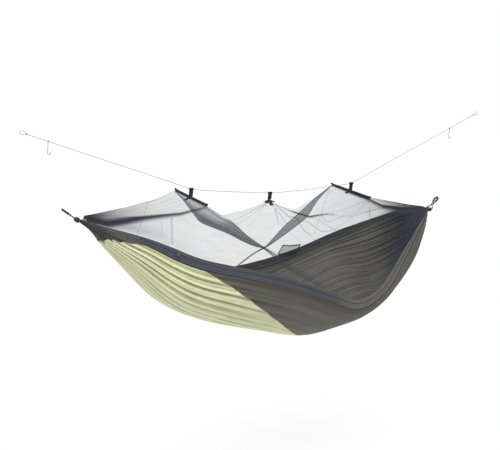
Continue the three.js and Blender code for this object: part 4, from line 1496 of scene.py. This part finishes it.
class HammockEnds(bpy.types.Operator):
    """Gathered ends of the body cloth, with the bore for the suspension cord"""

    bl_idname = "hammock.ends"
    bl_label = "Gathered ends"

    def execute(self, context):
        for end, sign in (("foot", -1), ("head", 1)):
            around = np.linspace(0, 2 * math.pi, 120, endpoint=False)
            profile = np.array([(5.2, -14), (6.5, -17), (10.5, -18), (13, -16), (14.2, -10), (14.6, 0),
                                (14.2, 10), (13, 16), (10.5, 18), (6.5, 17), (5.2, 14), (5.1, 0)])
            table = np.column_stack([np.arange(13), np.vstack([profile, profile[:1]])])
            fine = np.linspace(0, 12, 49)[:-1]
            radius, y = smooth_column(table, 1)(fine), smooth_column(table, 2)(fine)
            ripple = np.sin(13 * around) + 0.5 * np.sin(23 * around + 1)
            deep = np.clip((radius - 7) / 7, 0, 1)
            inward = np.clip(-sign * np.cos(around), 0, 1)[:, None]
            radius = (radius[None] * (0.86 + 0.1 * inward) + 0.7 * ripple[:, None] * deep)
            rings = np.stack([
                sign * CHANNEL_X + radius * MM * np.cos(around)[:, None],
                y * MM + 0 * radius,
                radius * MM * np.sin(around)[:, None],
            ], -1)
            knob = tube_object(f"end_gather_{end}", rings, loop=True)
            # the whole knob turns part way to the body's darker second colour
            point_value(knob, "shade_and_tone", np.full(len(knob.data.vertices), 0.55))
            dress(knob, finish("olive_cloth"), "hung_cloth", [f"end_channel_{end}"])
        return {"FINISHED"}


HOOKS = {"foot": -1309 * MM, "head": 1223 * MM}


class HammockHooks(bpy.types.Operator):
    """Wire hooks that hang on the ridge line"""

    bl_idname = "hammock.hooks"
    bl_label = "Line hooks"

    def execute(self, context):
        for end, x in HOOKS.items():
            centre = np.array([x, 0, float(line_z(x))])
            rise = float(line_z(x + 20 * MM) - line_z(x - 20 * MM)) / (40 * MM)
            turn = np.linspace(-math.pi / 2, 1.42 * math.pi, 40)
            lean = math.atan(rise)
            eye = [(-4.2 * math.sin(a) * math.sin(lean), 4.2 * math.cos(a),
                    4.2 * math.sin(a) * math.cos(lean)) for a in turn]
            shank = [(0, 0, -20), (0, 0, -38), (0, 0, -57)]
            bend = [(7 - 7 * math.cos(a), 0, -57 - 7 * math.sin(a))
                    for a in np.linspace(0.4, 1.05 * math.pi, 8)]
            route = [*reversed(eye), (0, 0, -8), *shank, *bend, (14.6, 0, -50)]
            line = smooth_line(centre + np.array(route) * MM, 200)
            hook = tube_object(f"wire_hook_{end}", rings_along(line, 1.3 * MM, 12, (0.2, 0.98, 0.03)))
            dress(hook, finish("steel"), f"{end}_hook", [f"line_hook_{end}"])
        return {"FINISHED"}


OPERATORS = [
    HammockStage,
    HammockRidgeLine,
    HammockSuspension,
    HammockBody,
    HammockPanels,
    HammockRimTrim,
    HammockNet,
    HammockSpreaders,
    HammockPocket,
    HammockZip,
    HammockEnds,
    HammockHooks,
]


class HammockPanel(bpy.types.Panel):
    """Lists the hammock's pieces and settings"""

    bl_label = "Hammock"
    bl_idname = "VIEW3D_PT_hammock"
    bl_space_type = "VIEW_3D"
    bl_region_type = "UI"
    bl_category = "Hammock"

    def draw(self, context):
        for operator in OPERATORS:
            self.layout.operator(operator.bl_idname)
        for group in (cloth_settings(), net_settings(), fitting_settings()):
            box = self.layout.box()
            for name in group.__annotations__:
                box.prop(group, name)


SETTINGS = {
    "hammock_cloth": HammockClothSettings,
    "hammock_net": HammockNetSettings,
    "hammock_fittings": HammockFittingSettings,
}


def register():
    """Adds the settings, operators and panel."""
    for cls in (*SETTINGS.values(), *OPERATORS, HammockPanel):
        bpy.utils.register_class(cls)
    for name, group in SETTINGS.items():
        setattr(bpy.types.Scene, name, bpy.props.PointerProperty(type=group))


def unregister():
    """Takes them away again."""
    for name in SETTINGS:
        delattr(bpy.types.Scene, name)
    for cls in reversed((*SETTINGS.values(), *OPERATORS, HammockPanel)):
        bpy.utils.unregister_class(cls)


def main():
    """Makes every piece in order."""
    register()
    for operator in OPERATORS:
        name = operator.bl_idname.split(".")[1]
        getattr(bpy.ops.hammock, name)()


if __name__ == "__main__":
    main()
